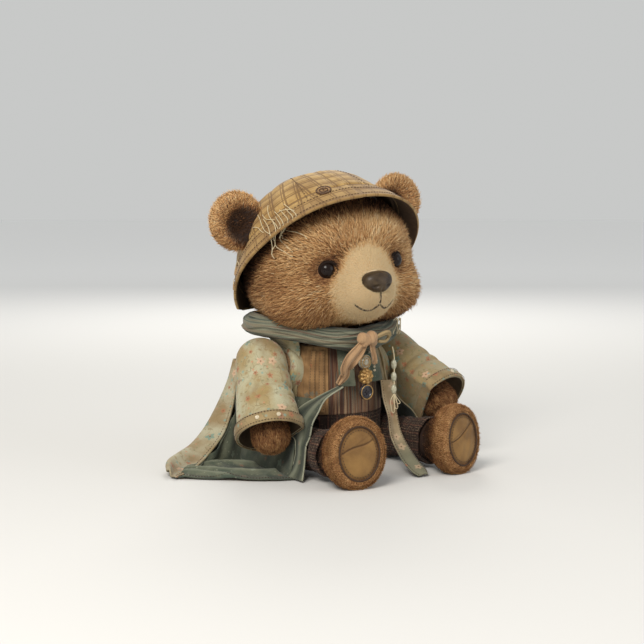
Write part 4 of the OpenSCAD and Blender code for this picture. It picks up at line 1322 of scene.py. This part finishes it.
def build_paw(word, body, place):
    """The arm within the sleeve, and the fur of its paw."""
    skin = Look(f"paw_skin_{word}", rough=0.9)
    where = skin.place_mm()
    skin.color(skin.mix(skin.noise(where, 0.4, 3.0), (0.045, 0.018, 0.009), (0.13, 0.058, 0.026)))
    nu = 64
    th = around(nu)[:, None]
    s = np.linspace(0.03, 1, 60)[None]
    t = -14.0 + 98.5 * s
    r = np.where(t < 0, np.sqrt(np.clip(14.5**2 - t**2, 0.01, None)), 14.8)
    tip = PAW_R * np.sqrt(np.clip(1 - ((t - PAW_AT) / PAW_LONG) ** 2, 0.0004, None))
    r = np.where(t > PAW_AT, tip, r + 0.6 * smooth(t, 40, PAW_AT))
    p = stack(t, r * np.cos(th), np.maximum(ARM_W + r * np.sin(th), 0.4))
    faces = grid_faces(nu, 60, wrap_u=True)
    o = make(f"arm_{word}_skin", p.reshape(-1, 3), faces, skin.mat, body, place)
    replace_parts(o, f"arm_{word}")
    k = 8500
    t = 48 + 36.2 * rng.uniform(0, 1, k) ** 0.8
    a = rng.uniform(0, 2 * np.pi, k)
    tip = PAW_R * np.sqrt(np.clip(1 - ((t - PAW_AT) / PAW_LONG) ** 2, 0.001, None))
    r = np.where(t > PAW_AT, tip, 15.2)
    slope = np.where(t > PAW_AT, (t - PAW_AT) / PAW_LONG, 0.0)[:, None]
    p = stack(t, r * np.cos(a), ARM_W + r * np.sin(a))
    out = stack(0, np.cos(a), np.sin(a)) * np.sqrt(np.clip(1 - slope**2, 0, 1))
    n = unit(out + np.array([1, 0, 0]) * slope)
    comb = np.array([1.0, 0, -0.1])
    # Paler towards the tip, and darker up inside the sleeve's hem as painted shade.
    tone = 1.0 + 0.8 * smooth(t, 66, 82) + 0.5 * waves(a * 2, t / 12, 6) - 1.1 * smooth(t, 64, 52)
    tone = np.rint(tone + rng.normal(0, 0.6, k))
    o = fur(f"paw_{word}_fur", p, n, comb, 4.6, 0.6, tone, body, place, 0.36, 0.22)


def pearl_look():
    k = Look("pearl_button", rough=0.35, coat=0.4, specular=0.5)
    cloud = k.noise(k.place_mm(), 0.5, 3.0)
    return k.color(k.mix(cloud, (0.42, 0.33, 0.20), (0.66, 0.60, 0.45))).mat


PEARL = pearl_look()
for s in (-1, 1):
    build_arm(s)

# ---------------------------------------------------------------- trousers, legs and feet


def build_trouser_seat():
    """The trousers' seat on the body; returns its tweed for the legs."""
    tweed = trouser_cloth("trouser_tweed")
    nu, nv = 220, 84
    a, s = lattice(nu, nv, TURN)
    rim = float(body_at(3.0)) + 0.6
    # The cloth starts as a flat floor below the body, then climbs its side.
    z = np.where(s < 0.22, 0.75, 0.75 + (s - 0.22) / 0.78 * 48.4)
    r = np.where(s < 0.22, rim * s / 0.22, body_at(np.maximum(z, 3)) + 1.1)
    fold = 0.45 * np.sin(a * 17 + z * 0.12) * smooth(z, 4, 14) * smooth(z, 48, 40)
    r = np.maximum(r + fold, 0.3)
    x, y = r * np.cos(a), r * np.sin(a)
    # Room for the legs as they swing: round the hip, then ahead of it and below it.
    hip_y, hip_z, clear = HIP[1], HIP[2], 20.6
    lean = math.tan(math.radians(6))
    ahead = np.clip(hip_y - y, 0, None)
    behind = y > hip_y
    room = np.where(behind, np.hypot(y - hip_y, z - hip_z) < clear, z < hip_z + clear + ahead * lean)
    room |= behind & (z < hip_z) & (y < 15.6)
    side_x = np.where(room, np.clip(x, -33.9, 33.9), x)
    o = cloth("trousers_seat_cloth", stack(side_x, y, z), tweed, "torso", thick=1.4, wrap_u=True,
              uv=stack(a * 50, z))
    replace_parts(o, "trousers_seat")
    return tweed


TWEED = build_trouser_seat()
# The flat inner side of a leg follows the legs' 3 degree spread.
INNER_SLOPE = 0.0524
FOOT_TILT, SOLE_AT = turn(-2.4, 7, 0), (0.6, 4.2, 116.0)


def build_leg(side):
    """A trouser leg with two rolled cuffs, and the foot below it."""
    word = "left" if side > 0 else "right"
    body, place = f"leg_{word}", leg_place(side)
    nu = 150
    th = around(nu)[:, None]
    cap = 19.0 * np.sin(np.linspace(-np.pi / 2 + 0.06, 0, 16))
    z = np.concatenate([cap, np.linspace(0, 83, 110)[1:]])[None]
    r = np.where(z < 0, np.sqrt(np.clip(19.2**2 - z**2, 0.01, None)), 19.2)
    bunch = np.abs(np.sin((z + 5 * np.sin(th + 0.6) + 2.5 * np.sin(2 * th)) * 0.33)) ** 1.6
    soft = 0.7 * waves(th * 1.2, z / 20, 41 + side, 5, 0.5, 1.4)
    d = (0.3 + 1.7 * bunch * smooth(z, 6, 26) + soft) * smooth(z, -16, 2)
    r = np.maximum(r - np.clip(d, 0, 2.4) - 0.6, 0.05)
    low_x = -13.3 - INNER_SLOPE * z
    p = stack(np.maximum(r * np.cos(th), low_x), r * np.sin(th), z)
    o = cloth(f"trouser_{word}_cloth", p, TWEED, body, place, 1.4, True, stack(th * 19, z))
    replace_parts(o, f"trouser_leg_{word}")
    for i, (z0, z1, r0) in enumerate(((72.5, 83.6, 19.7), (79.0, 85.6, 20.2))):
        z = np.linspace(z0, z1, 14)[None]
        k = (z - z0) / (z1 - z0)
        r = r0 + 0.8 * np.sin(np.pi * k) ** 0.7 + 0.35 * np.sin(7 * th + i)
        low_x = -14.0 - INNER_SLOPE * z
        p = stack(np.maximum(r * np.cos(th), low_x), r * np.sin(th), z + 0.5 * np.sin(3 * th))
        o = cloth(f"trouser_{word}_cuff_{i + 1}", p, TWEED, body, place, 1.2, True,
                  stack(th * 21 + 1.2, z))

    sole = Place(place.m @ FOOT_TILT, place.o + place.m @ np.array(SOLE_AT), side < 0)
    build_foot(word, side, body, sole)
    build_pad(word, side, body, sole)


def build_foot(word, side, body, sole):
    """The foot's skin and its fur, up to the seam of the pad."""

    def foot(s, a):
        """Foot skin from the ankle, s = 0, to the seam of the pad, s = 1, in the sole's frame."""
        at = [0, 0.14, 0.30, 0.55, 0.70, 0.82, 0.92, 1.0]
        z = np.interp(s, at, [-42, -31, -20, -8, -1.5, 3.6, 6.4, 6.4])
        rx = np.interp(s, at, [16.6, 16.9, 20.6, 26.4, 27.3, 26.6, 23.4, 18.6])
        ry = np.interp(s, at, [16.6, 16.9, 21.8, 29.0, 30.2, 29.4, 26.2, 22.4])
        squash = 1 - 0.03 * np.cos(2 * a)
        cx = np.interp(z, [-42, -31, -4], [4.5, 3.1, -0.6])
        cy = np.interp(z, [-42, -31, -4], [-2.5, -2.9, 0])
        return stack(cx + rx * np.cos(a) * squash, cy + ry * np.sin(a), z)

    skin = Look(f"foot_skin_{word}", rough=0.9)
    where = skin.place_mm()
    shade = skin.noise(where, 0.4, 3.0)
    base = skin.mix(shade, (0.12, 0.055, 0.020), (0.26, 0.135, 0.048))
    # Painted shade: the dark attribute turns the skin near black towards the ankle, under the trouser cuff.
    skin.color(skin.mix(skin.attr("dark"), base, (0.030, 0.014, 0.008)))
    s, a = lattice(56, 110, (0, 1), TURN)
    p = foot(s, a)
    faces = grid_faces(56, 110, wrap_v=True)
    o = make(f"foot_{word}_skin", p.reshape(-1, 3), faces, skin.mat, body, sole,
             attrs={"dark": smooth(s, 0.5, 0.2)})
    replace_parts(o, f"leg_{word}")
    k = 14000
    s = 0.18 + 0.81 * rng.uniform(0, 1, k) ** 0.75
    a = rng.uniform(0, 2 * np.pi, k)
    p = foot(s, a)
    e = 1e-3
    n = unit(np.cross(foot(s, a + e) - p, foot(np.clip(s - e, 0, 1), a) - p))
    n = n * np.sign((n * (p - np.array([0, 0, -10.0]))).sum(1, keepdims=True))
    comb = foot(np.clip(s + 0.02, 0, 1), a) - foot(np.clip(s - 0.02, 0, 1), a)
    tone = 2.2 + 0.5 * waves(a * 1.5, s * 2, 8 + side)
    # Darker towards the ankle as painted shade under the trouser cuff, and darker along the pad's seam.
    tone = tone - 2.2 * smooth(s, 0.66, 0.35) - 1.6 * smooth(s, 0.955, 0.99)
    tone = np.rint(tone + rng.normal(0, 0.55, k))
    length = np.where(s > 0.8, 2.3, 3.6)
    o = fur(f"foot_{word}_fur", p, n, comb, length, 0.55, tone, body, sole, 0.34, 0.22)


def build_pad(word, side, body, sole):
    """The suede pad of a foot with its creases, welt and stitches."""
    suede = Look(f"pad_suede_{word}", rough=0.8, sheen=0.08)
    v, x, y = suede.uv()
    cloud = suede.noise(v, 0.035, 4.0, 0.6)
    nap = suede.noise(v, 1.8, 4.0, 0.65)
    base = suede.mix(cloud.step(0.3, 0.7), (0.130, 0.060, 0.015), (0.270, 0.146, 0.042))
    base = suede.mix(nap.step(0.3, 0.8) * 0.35, base, (0.32, 0.19, 0.075))
    base = suede.mix(suede.attr("edge") * 0.75, base, (0.12, 0.055, 0.018))
    base = suede.mix(suede.attr("crease") * 0.85, base, (0.075, 0.034, 0.013))
    suede.color(base).bump(nap + cloud, 0.35, 0.5)
    rx, ry = 18.4, 22.4
    q, a = lattice(60, 160, (0.004, 1), TURN)
    x, y = -0.6 + rx * q * np.cos(a), ry * q * np.sin(a)
    line = y - 6.5 - 0.42 * x * side - 1.6 * np.sin(x * 0.16)
    second = y - 9.5 - 0.55 * x * side
    crease = hump(line, 0.55) * smooth(q, 0.97, 0.86) + 0.45 * hump(second, 0.5) * smooth(q, 0.9, 0.7)
    z = 6.3 + 2.4 * (1 - q**2.6) - 1.1 * hump(line, 0.9) * smooth(q, 0.98, 0.85)
    z = z + 0.35 * waves(x / 16, y / 16, 60 + side)
    p = np.concatenate([stack(x, y, z), stack(x, y, 4.6)[::-1]])
    edge = np.concatenate([smooth(q, 0.80, 1.0), np.ones_like(q)])
    crease = np.concatenate([crease, np.zeros_like(q)])
    faces = grid_faces(120, 160, wrap_v=True)
    o = make(f"foot_pad_{word}_suede", p.reshape(-1, 3), faces, suede.mat, body, sole,
             uv=p.reshape(-1, 3)[:, :2], attrs={"edge": edge, "crease": np.clip(crease, 0, 1)})
    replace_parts(o, f"foot_pad_{word}")
    a = around(130)
    welt = stack(-0.6 + (rx + 0.5) * np.cos(a), (ry + 0.5) * np.sin(a), 6.9)
    ring = stack(-0.6 + (rx - 2.4) * np.cos(a), (ry - 2.4) * np.sin(a), 7.55)
    dark = plain(f"pad_welt_{word}", (0.050, 0.024, 0.010), rough=0.65)
    piece(f"foot_{word}_welt", [tube_data(welt, 0.85, 10, closed=True)], dark, body, sole)
    piece(f"foot_{word}_stitches", [stitch_line(ring, 2.6, 1.6, 0.3)], DARK_THREAD, body,
          sole)


for s in (-1, 1):
    build_leg(s)

# ---------------------------------------------------------------- coat tails and strips


def spline_rows(points, n):
    """A curve through points, resampled to n even steps."""
    c = curve(points, 16)
    return along(c, np.linspace(0, run_length(c)[-1], n))


def drape(name, rails, n, m, mats, fold, thick, node):
    """Cloth hung smoothly across two or more rails of points; fold(s, k) lifts it along its normal."""
    rows = [spline_rows(r, n) for r in rails]
    rows = [2 * rows[0] - rows[1], *rows, 2 * rows[-1] - rows[-2]]
    cols = []
    for x in np.linspace(0, len(rails) - 1, m):
        i = min(int(x), len(rails) - 2)
        f, (p0, p1, p2, p3) = x - i, rows[i:i + 4]
        bend = 2 * p0 - 5 * p1 + 4 * p2 - p3 + f * (3 * (p1 - p2) + p3 - p0)
        cols.append(p1 + 0.5 * f * (p2 - p0 + f * bend))
    p, k = np.stack(cols, 1), np.linspace(0, 1, m)
    s = np.linspace(0, 1, n)[:, None]
    lift = np.broadcast_to(fold(s, k[None]), p.shape[:2])
    p = p + grid_normals(p) * lift[..., None]
    p[..., 2] = np.maximum(p[..., 2], 0.9 + 0.02 * p[..., 2])
    du = np.linalg.norm(np.diff(p, axis=0), axis=2).mean(1)
    dv = np.linalg.norm(np.diff(p, axis=1), axis=2).mean(0)
    u = np.concatenate([[0], np.cumsum(du)])
    v = np.concatenate([[0], np.cumsum(dv)])
    uv = stack(u[:, None], v[None])
    # The lift's low and high parts are kept as attributes for painted shade in fold valleys and painted
    # light on fold ridges.
    level = (lift - lift.min()) / (np.ptp(lift) + 1e-9)
    shade = {"valley": smooth(level, 0.45, 0.0), "ridge": smooth(level, 0.55, 1.0)}
    o = cloth(name, p, mats, "torso", thick=thick, uv=uv, attrs=shade, inner=1)
    if node:
        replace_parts(o, node)
    return p


def build_coat_tail(coat, teal):
    """The tail spread on the floor and its turned-down edge; returns the tail's stitches."""
    inner = [(-31, 41, 94), (-34, 44, 74), (-37, 48, 52), (-42, 54, 31), (-54, 62, 12), (-88, 64, 3.5),
             (-122, 56, 3), (-154, 20, 3)]
    ridge = [(-60, 59, 92), (-67, 61, 71), (-79, 62, 49), (-93, 61, 30), (-110, 57, 16), (-130, 46, 10.5),
             (-148, 31, 8), (-160, 11, 5)]
    front = [(-62, 51, 91), (-68, 46, 71), (-77, 38, 50), (-90, 31, 30), (-108, 28, 13), (-128, 18, 4.5),
             (-148, 5, 2.5), (-161, -1, 2)]

    def tail_fold(s, k):
        low = smooth(s, 0.35, 0.8)
        wide = 0.6 * np.sin(k * 5 + s * 7)
        return 1.7 * np.sin(k * 10 + 3.5 * s) * low + 0.7 * np.sin(k * 17 + 6 * s) * low + wide

    p = drape("coat_tail_cloth", [inner, ridge, front], 130, 60, [coat, teal], tail_fold, 1.6,
              "coat_tail")
    stitches = stitch_line(p[:, -4] + np.array([0, 0, 1.2]), 2.8, 1.8, 0.33)

    upper = [(-61, 50, 88), (-66, 45, 70), (-76, 37, 49), (-89, 30.6, 29), (-107, 27.6, 12.5),
            (-127, 17.6, 4), (-146, 5, 2.2)]
    middle = [(-60, 47, 66), (-64, 42, 51), (-74, 35, 32), (-90, 30, 15), (-107, 28, 7), (-126, 19, 2.8),
              (-145, 7, 1.7)]
    lower = [(-56, 41, 34), (-61, 37, 16), (-73, 33, 2), (-92, 29.5, 2.0), (-106, 27, 1.4), (-124, 20, 1.3),
            (-143, 9, 1.2)]

    def fall_fold(s, k):
        ripple = 1.8 * np.sin(24 * s + 3 * k) + 0.9 * np.sin(41 * s - 2 * k)
        return ripple * smooth(k, 0.0, 0.6) * smooth(s, 1.0, 0.75)

    # The fall's teal is dimmed as painted shade.
    drape("coat_tail_fall", [lower, middle, upper], 110, 36, [teal_cloth("fall_teal", 9, 0.7), teal],
          fall_fold, 1.3, ())
    return stitches


def build_hem_folds(coat):
    """The hem's lining heaped on the floor in folds; returns its stitches."""
    hem = [
        [(-78, -64, 1.2), (-95, -57, 1.2), (-113, -44, 1.2), (-131, -26, 1.2), (-148, -9, 1.2),
         (-158, 0, 1.2)],
        [(-78.5, -48, 1.6), (-93, -40, 1.6), (-108, -27, 1.6), (-125, -10, 1.6), (-141, 3, 1.6),
         (-153, 8, 1.4)],
        [(-79, -28, 1.8), (-91, -18, 1.8), (-105, -5, 1.8), (-120, 7, 1.8), (-136, 14, 1.6),
         (-148, 14, 1.4)],
        [(-78, -4, 1.8), (-87, 8, 1.8), (-99, 18, 1.8), (-114, 22, 1.8), (-130, 19, 1.6), (-143, 17, 1.4)],
        [(-77, 20, 1.4), (-85, 28, 1.4), (-97, 30, 1.4), (-112, 28, 1.4), (-127, 23, 1.4), (-140, 20, 1.4)],
    ]

    def floor_fold(s, k):
        run = 15 * k + 6.0 * s + 1.4 * np.sin(5 * s + 3 * k)
        ridge = (1 - np.abs(np.sin(run * 0.55))) ** 1.1 * 4.6
        cross = (1 - np.abs(np.sin(9 * s + 2.2 * np.sin(5 * k)))) ** 2 * 1.2
        edge = np.clip((1 - k) * 14 + 0.35, 0, 1) * np.clip(k * 9, 0, 1)
        edge = edge * np.clip(np.minimum(s, 1 - s) * 16, 0.2, 1)
        return np.clip((ridge + cross) * edge, 0, 4.9)

    p = drape("coat_hem_folds_cloth", hem[::-1], 200, 90, [teal_cloth("hem_teal", 6), coat],
              floor_fold, 1.2, "coat_hem_folds")
    return stitch_line(p[:, -4] + np.array([0, 0, 1.0]), 2.6, 1.7, 0.3)


def build_laps(coat):
    """The coat's sides, laid out over the legs to the floor."""
    for side, word in ((-1, "right"), (1, "left")):
        lap = [
            [(-53, 21, 66), (-58.4, 4, 66), (-58, -12, 66), (-52, -25, 66), (-43, -38, 65)],
            [(-55, 24, 55), (-62.2, 4, 55), (-62.2, -14, 55), (-58.5, -31, 53), (-50, -46, 51)],
            [(-58.5, 28, 44), (-65.8, 5, 44), (-65.8, -14, 44), (-65, -33, 42), (-62, -50, 40.5)],
            [(-63, 31, 31), (-69.6, 6, 31), (-70.4, -14, 30.5), (-71.2, -34, 30), (-71.6, -54, 30)],
            [(-68.5, 34, 16), (-72.8, 7, 16), (-73.2, -14, 16), (-74.2, -34, 16), (-75.0, -56, 16)],
            [(-73, 36, 1.3), (-76.8, 8, 1.3), (-77.4, -14, 1.3), (-78.4, -34, 1.3), (-79.4, -57, 1.3)],
        ]
        lap = [[(-side * x, y, z) for x, y, z in rail] for rail in lap]
        if side < 0:
            lap = lap[::-1]
        else:
            for rail, rise in zip(lap, (6, 7, 6)):
                x, y, z = rail[-1]
                rail[-1] = (x, y - rise * 0.4, z + rise)

        def lap_fold(s, k, low=side):
            k = k if low > 0 else 1 - k
            ripple = 0.8 * np.sin(11 * s + 2 * k) + 0.5 * np.sin(23 * s + 5 * k)
            return ripple * smooth(k, 0, 0.4) * smooth(k, 1.02, 0.8)

        # Painted shade: the lap's teal lining is dimmed.
        lining = teal_cloth(f"lap_teal_{word}", 14 + side, 0.55)
        mats, slot = ([lining, coat], "teal_lining") if side < 0 else ([coat, lining], "floral_cotton")
        drape(f"coat_lap_{word}", lap, 90, 90, mats, lap_fold, 1.1, ())


def build_front_strips(coat):
    """The corded facing on the right and the cream strip on the left; returns the strip's stitches."""
    # Painted shade: the facing's teal is dimmed.
    facing = teal_cloth("facing_teal", 5, 0.55)
    border = plain_weave("facing_border", (0.2, 4.0), (0.16, 0.16, 0.11), (0.42, 0.42, 0.31), 0.7,
                         0.88, 0.2)
    back = [(-25, -56.8, 77.2), (-44, -51, 68.4), (-58, -43, 59.2), (-65, -41.5, 49.6),
            (-68.6, -42.5, 38), (-71.9, -54, 33), (-73.6, -57, 28), (-74.4, -57.5, 20), (-76, -55, 10),
            (-79.5, -50, 1.3)]
    fore = [(-24, -60.4, 76.6), (-44, -61.5, 67.8), (-57.5, -69, 58.6), (-65, -70.5, 49.2),
            (-68.8, -71.8, 38), (-72.3, -72.4, 32.6), (-73.9, -72.8, 28), (-74.6, -73, 20),
            (-76.4, -74, 10), (-80, -77, 1.3)]

    def facing_fold(s, k):
        return 0.35 * np.sin(9 * k + 5 * s) * smooth(s, 0.0, 0.2)

    p = drape("coat_facing_cloth", [back, fore], 130, 30, [facing, coat], facing_fold, 1.2,
              "coat_front_right")
    for col in (1, -2):
        cord = tube_data(p[:, col] + (p[:, col] - p[:, -col]) * 0.02, 0.75, 8)
        uv = stack(np.repeat(np.arange(len(p)), 8), np.tile(np.arange(8), len(p)))
        name = f"coat_facing_edge_{1 if col > 0 else 2}"
        piece(name, [cord], border, "torso", uv=uv)

    cream = Look("strip_cotton", rough=0.9, sheen=0.12)
    v, x, y = cream.uv()
    base = cream.mix(cream.noise(v, 0.06, 4.0).step(0.3, 0.7), (0.21, 0.145, 0.075), (0.36, 0.29, 0.18))
    teal_end = cream.mix(cream.noise(v, 0.1, 3.0), (0.09, 0.105, 0.07), (0.20, 0.21, 0.14))
    base = cream.mix(x.step(52, 80) * 0.75, base, teal_end)
    bloom, heart, r = cream.flowers(v, 10.0, 3.2, 5, 4, 0.55)
    petal = cream.mix(r.step(0.5, 0.6), (0.42, 0.16, 0.09), (0.48, 0.34, 0.22))
    base = cream.mix(bloom * 0.7, base, petal)
    base = cream.mix(heart, base, (0.13, 0.07, 0.03))
    cream.color(base).bump(weave(x, y, 0.7) + cream.noise(v, 1.2, 3.0), 0.25, 0.5)
    left = [(22.5, -54, 78), (22, -58.6, 60), (21, -66.4, 45.8), (15, -78.6, 29.6), (12.6, -97.4, 13.2),
            (12.2, -112, 5.4), (14.5, -118.5, 2.4)]
    right = [(39, -55.6, 77), (36, -59.6, 60), (31.4, -67, 45.4), (28, -79, 29.2), (28, -97.6, 12.8),
             (27.5, -112, 5.2), (24.5, -118.5, 2.4)]

    def strip_fold(s, k):
        return 0.7 * np.sin(6 * k + 4 * s) * smooth(s, 0, 0.3)

    p = drape("coat_strip_cloth", [left, right], 120, 26, [cream.mat, facing], strip_fold, 1.3,
              "coat_front_left")
    return [stitch_line(p[:, c] + np.array([0, -0.6, 0.7]), 2.6, 1.7, 0.28) for c in (2, -3)]


def build_coat_tails():
    """All of the coat that leaves the body."""
    coat = floral("tail_cotton", (0.42, 0.39, 0.27), (0.28, 0.20, 0.10), 12, 0.5)
    # Painted shade: the tail's lining is dimmed a little.
    teal = teal_cloth("tail_lining", 8, 0.8)
    rows = [build_coat_tail(coat, teal), build_hem_folds(coat)]
    build_laps(coat)
    rows += build_front_strips(coat)
    piece("coat_tail_stitches", rows, DARK_THREAD, "torso")


build_coat_tails()

# ---------------------------------------------------------------- trimmings and fittings


def speckled(name, low, high, scale, rough, bump=0.2, **kw):
    """A finish clouded between two tones, by a noise of that scale per mm."""
    k = Look(name, rough=rough, **kw)
    where = k.place_mm()
    n = k.noise(where, scale, 4.0, 0.6)
    return k.color(k.mix(n.step(0.3, 0.7), low, high)).bump(k.noise(where, scale * 3, 3.0), bump, 0.5).mat


def build_fittings():
    """Finishes for the pieces that keep their CAD form, and the small trimmings on them."""
    wood = Look("button_wood", rough=0.5, coat=0.2)
    where = wood.place_mm()
    grain = wood.noise(wood.scaled(where, 0.35, 2.2, 2.2), 1.0, 4.0)
    wood.color(wood.mix(grain.step(0.35, 0.65), (0.24, 0.125, 0.045), (0.50, 0.32, 0.16)))
    wood.bump(grain, 0.15, 0.4)
    finish = {
        "plush": speckled("body_plush", (0.16, 0.085, 0.04), (0.30, 0.18, 0.09), 0.5, 0.95, 0.6),
        "stuffing": speckled("fibre_fill", (0.70, 0.68, 0.62), (0.86, 0.84, 0.78), 0.4, 0.98, 0.8),
        "hardboard": speckled("pressed_board", (0.17, 0.10, 0.05), (0.28, 0.18, 0.10), 1.2, 0.8, 0.15),
        "zinc_steel": speckled("plated_steel", (0.42, 0.43, 0.45), (0.58, 0.59, 0.61), 0.8, 0.35, 0.05,
                               metal=1.0),
        "cream_enamel": speckled("cameo_enamel", (0.36, 0.34, 0.25), (0.60, 0.55, 0.42), 0.35, 0.3, 0.1,
                                 coat=0.5),
        "old_gold": speckled("rosette_gold", (0.32, 0.17, 0.05), (0.62, 0.40, 0.16), 0.5, 0.42, 0.3,
                             metal=0.55),
        "navy_button": speckled("horn_button", (0.012, 0.013, 0.018), (0.045, 0.046, 0.056), 0.4, 0.3, 0.1,
                                coat=0.4),
        "green_beads": speckled("bead_glass", (0.30, 0.29, 0.20), (0.55, 0.52, 0.38), 0.5, 0.2, 0.05,
                                coat=0.6),
        "wood_button": wood.mat,
    }
    slots = {s["node"]: s["material_slot"] for s in frame["record"]["subparts"]}
    for name, o in frame["nodes"].items():
        if slots[name] in finish:
            for s in o.material_slots:
                s.material = finish[slots[name]]

    def chest(z, x, out):
        """A point in front of the chest, out from the clothes on it."""
        return np.array([x, -(float(body_at(z)) + 8.5) - out, z])

    petals = []
    petal = [(0, 1.2), (0.6, 1.05), (1.0, 0.35), (1.0, -0.2), (0.6, -0.6), (0, -0.7)]
    rings = ((9, 5.2, 2.2, 3.2), (6, 2.7, 1.9, 4.3), (1, 0, 2.0, 5.0))
    for ring, (count, rad, size, lift) in enumerate(rings):
        for i in range(count):
            a = 2 * np.pi * (i + 0.5 * ring) / count
            v, f = lathe_data(petal, 14)
            c = chest(83.5, 2 + rad * math.cos(a), lift)
            c[2] += rad * math.sin(a)
            petals.append((c + v[:, [0, 2, 1]] * np.array([size, -size * 0.8, size]), f))
    piece("rosette_petals", petals, finish["old_gold"], "torso")
    a = around(60)
    rims = []
    for z, x, rad, out in ((96, 4, 5.6, 2.6), (96, 4, 3.2, 3.6), (69.5, 2, 6.3, 2.9)):
        c = chest(z, x, out)
        rims.append(tube_data(c + stack(rad * np.cos(a), 0, rad * np.sin(a)), 0.42, 8, closed=True))
    piece("brooch_rims", rims, finish["old_gold"], "torso")
    cords = []
    top = np.array([34, -56.5, 108])
    line = [top, (33.6, -59.5, 100), (33, -60.5, 92), (31.8, -62.2, 81), (30.2, -64, 70),
            (29.5, -64.5, 62)]
    cords.append(tube_data(curve(line, 12), 0.55, 8))
    for dx, low in ((-2.2, 50), (1.6, 53), (4.2, 57)):
        ring = [(29.5, -64.6, 66), (29.5 + dx - 2, -65.4, 60), (29.5 + dx - 1.2, -66.6, low),
                (29.5 + dx + 1.6, -66.4, low + 1), (30.6 + dx * 0.5, -65.2, 62), (29.8, -64.6, 67)]
        cords.append(tube_data(curve(ring, 10), 0.36, 7))
    piece("bead_threads", cords, THREAD, "torso")
    pearls = []
    for z, x, out in ((104, 12, 0.2), (100, 15, 0.2), (96, 18, 0.1), (91, 14, 0.6), (104, -6, 0.4),
                      (99, -9, 0.4), (92, -10, 0.4), (88, 13.5, 1)):
        v, f = lathe_data([(0, 1.3), (0.7, 1.1), (1.25, 0.3), (1.0, -0.6), (0, -0.9)], 14)
        pearls.append((chest(z, x, out) + v[:, [0, 2, 1]] * np.array([1, -1, 1]), f))
    piece("collar_pearls", pearls, PEARL, "torso")
    for s in frame["nodes"]["chest_beads"].material_slots:
        s.material = finish["green_beads"]

    button = frame["nodes"]["hat_button"]
    p = np.array([button.matrix_world @ v.co for v in button.data.vertices]) / MM
    centre = p.mean(0)
    axes = np.linalg.svd(p - centre, full_matrices=False)[2]
    way = axes[2] * np.sign(axes[2] @ (centre - HEAD.o))
    top, wide = ((p - centre) @ way).max(), np.abs((p - centre) @ axes[0]).max()
    rings = []
    for share, rise, thick in ((0.97, 0.0, 0.75), (0.56, 0.15, 0.45)):
        rad = share * wide
        circle = rad * (np.cos(a)[:, None] * axes[0] + np.sin(a)[:, None] * axes[1])
        rings.append(tube_data(centre + way * (top + rise) + circle, thick, 8, closed=True))
    for s in (-1, 1):
        pair = np.array([[-1.6, s * 0.9], [0, s * 0.75], [1.6, s * 0.9]]) @ axes[:2]
        rings.append(tube_data(centre + way * (top + 0.25) + pair, 0.4, 7))
    piece("hat_button_rims", rings, plain("button_rim", (0.085, 0.042, 0.018), rough=0.6), "head")


build_fittings()

# ---------------------------------------------------------------- stage, light and camera


def area_light(name, size, power, at, aim, color):
    data = bpy.data.lights.new(name, "AREA")
    data.shape, data.size, data.energy, data.color = "DISK", size, power, color
    o = bpy.data.objects.new(name, data)
    bpy.context.scene.collection.objects.link(o)
    o.location = at
    o.rotation_euler = (Vector(aim) - Vector(at)).to_track_quat("-Z", "Y").to_euler()


def build_stage():
    """A pale floor that fades to white, and soft light from the left."""
    ground = Look("studio_floor", rough=0.9, specular=0.1)
    n = ground.node("ShaderNodeVectorMath", operation="LENGTH")
    ground.put(n.inputs[0], ground.place_mm())
    far = Value(ground, n.outputs["Value"]).step(500, 2600)
    ground = ground.color(ground.mix(far, (0.66, 0.655, 0.64), (0.97, 0.97, 0.97))).mat
    n = 40
    a = around(n)
    v = np.concatenate([[[0, 0, -0.3]], polar(6000, a, -0.3)])
    f = np.stack([np.zeros(n, int), 1 + np.arange(n), 1 + (np.arange(n) + 1) % n], 1)
    make("floor", v, f, ground, None)
    world = bpy.data.worlds.new("studio")
    bpy.context.scene.world = world
    world.use_nodes = True
    back = world.node_tree.nodes["Background"]
    back.inputs["Color"].default_value = (0.80, 0.81, 0.80, 1)
    back.inputs["Strength"].default_value = 0.72
    area_light("key", 0.9, 25, (-1.15, -0.75, 1.25), (0, 0, 0.13), (1.0, 0.95, 0.88))
    area_light("fill", 1.1, 4, (0.9, -1.3, 0.6), (0, 0, 0.12), (0.93, 0.96, 1.0))
    area_light("rim", 0.7, 10, (0.8, 1.1, 1.0), (0, 0, 0.15), (1.0, 0.97, 0.92))


def build_camera():
    """The picture's view: from the bear's right front and a little above, through a long lens."""
    azimuth, elevation, distance = math.radians(-36), math.radians(6), 1.40
    aim = Vector((-2.4, 1.8, 127.5)) * MM
    back = Vector((
        math.sin(azimuth) * math.cos(elevation),
        -math.cos(azimuth) * math.cos(elevation),
        math.sin(elevation),
    ))
    data = bpy.data.cameras.new("camera")
    data.lens, data.sensor_width = 85, 36
    cam = bpy.data.objects.new("camera", data)
    bpy.context.scene.collection.objects.link(cam)
    cam.location = aim + back * distance
    cam.rotation_euler = (-back).to_track_quat("-Z", "Y").to_euler()
    bpy.context.scene.camera = cam


build_stage()
build_camera()
bpy.context.scene.view_settings.view_transform = "Standard"
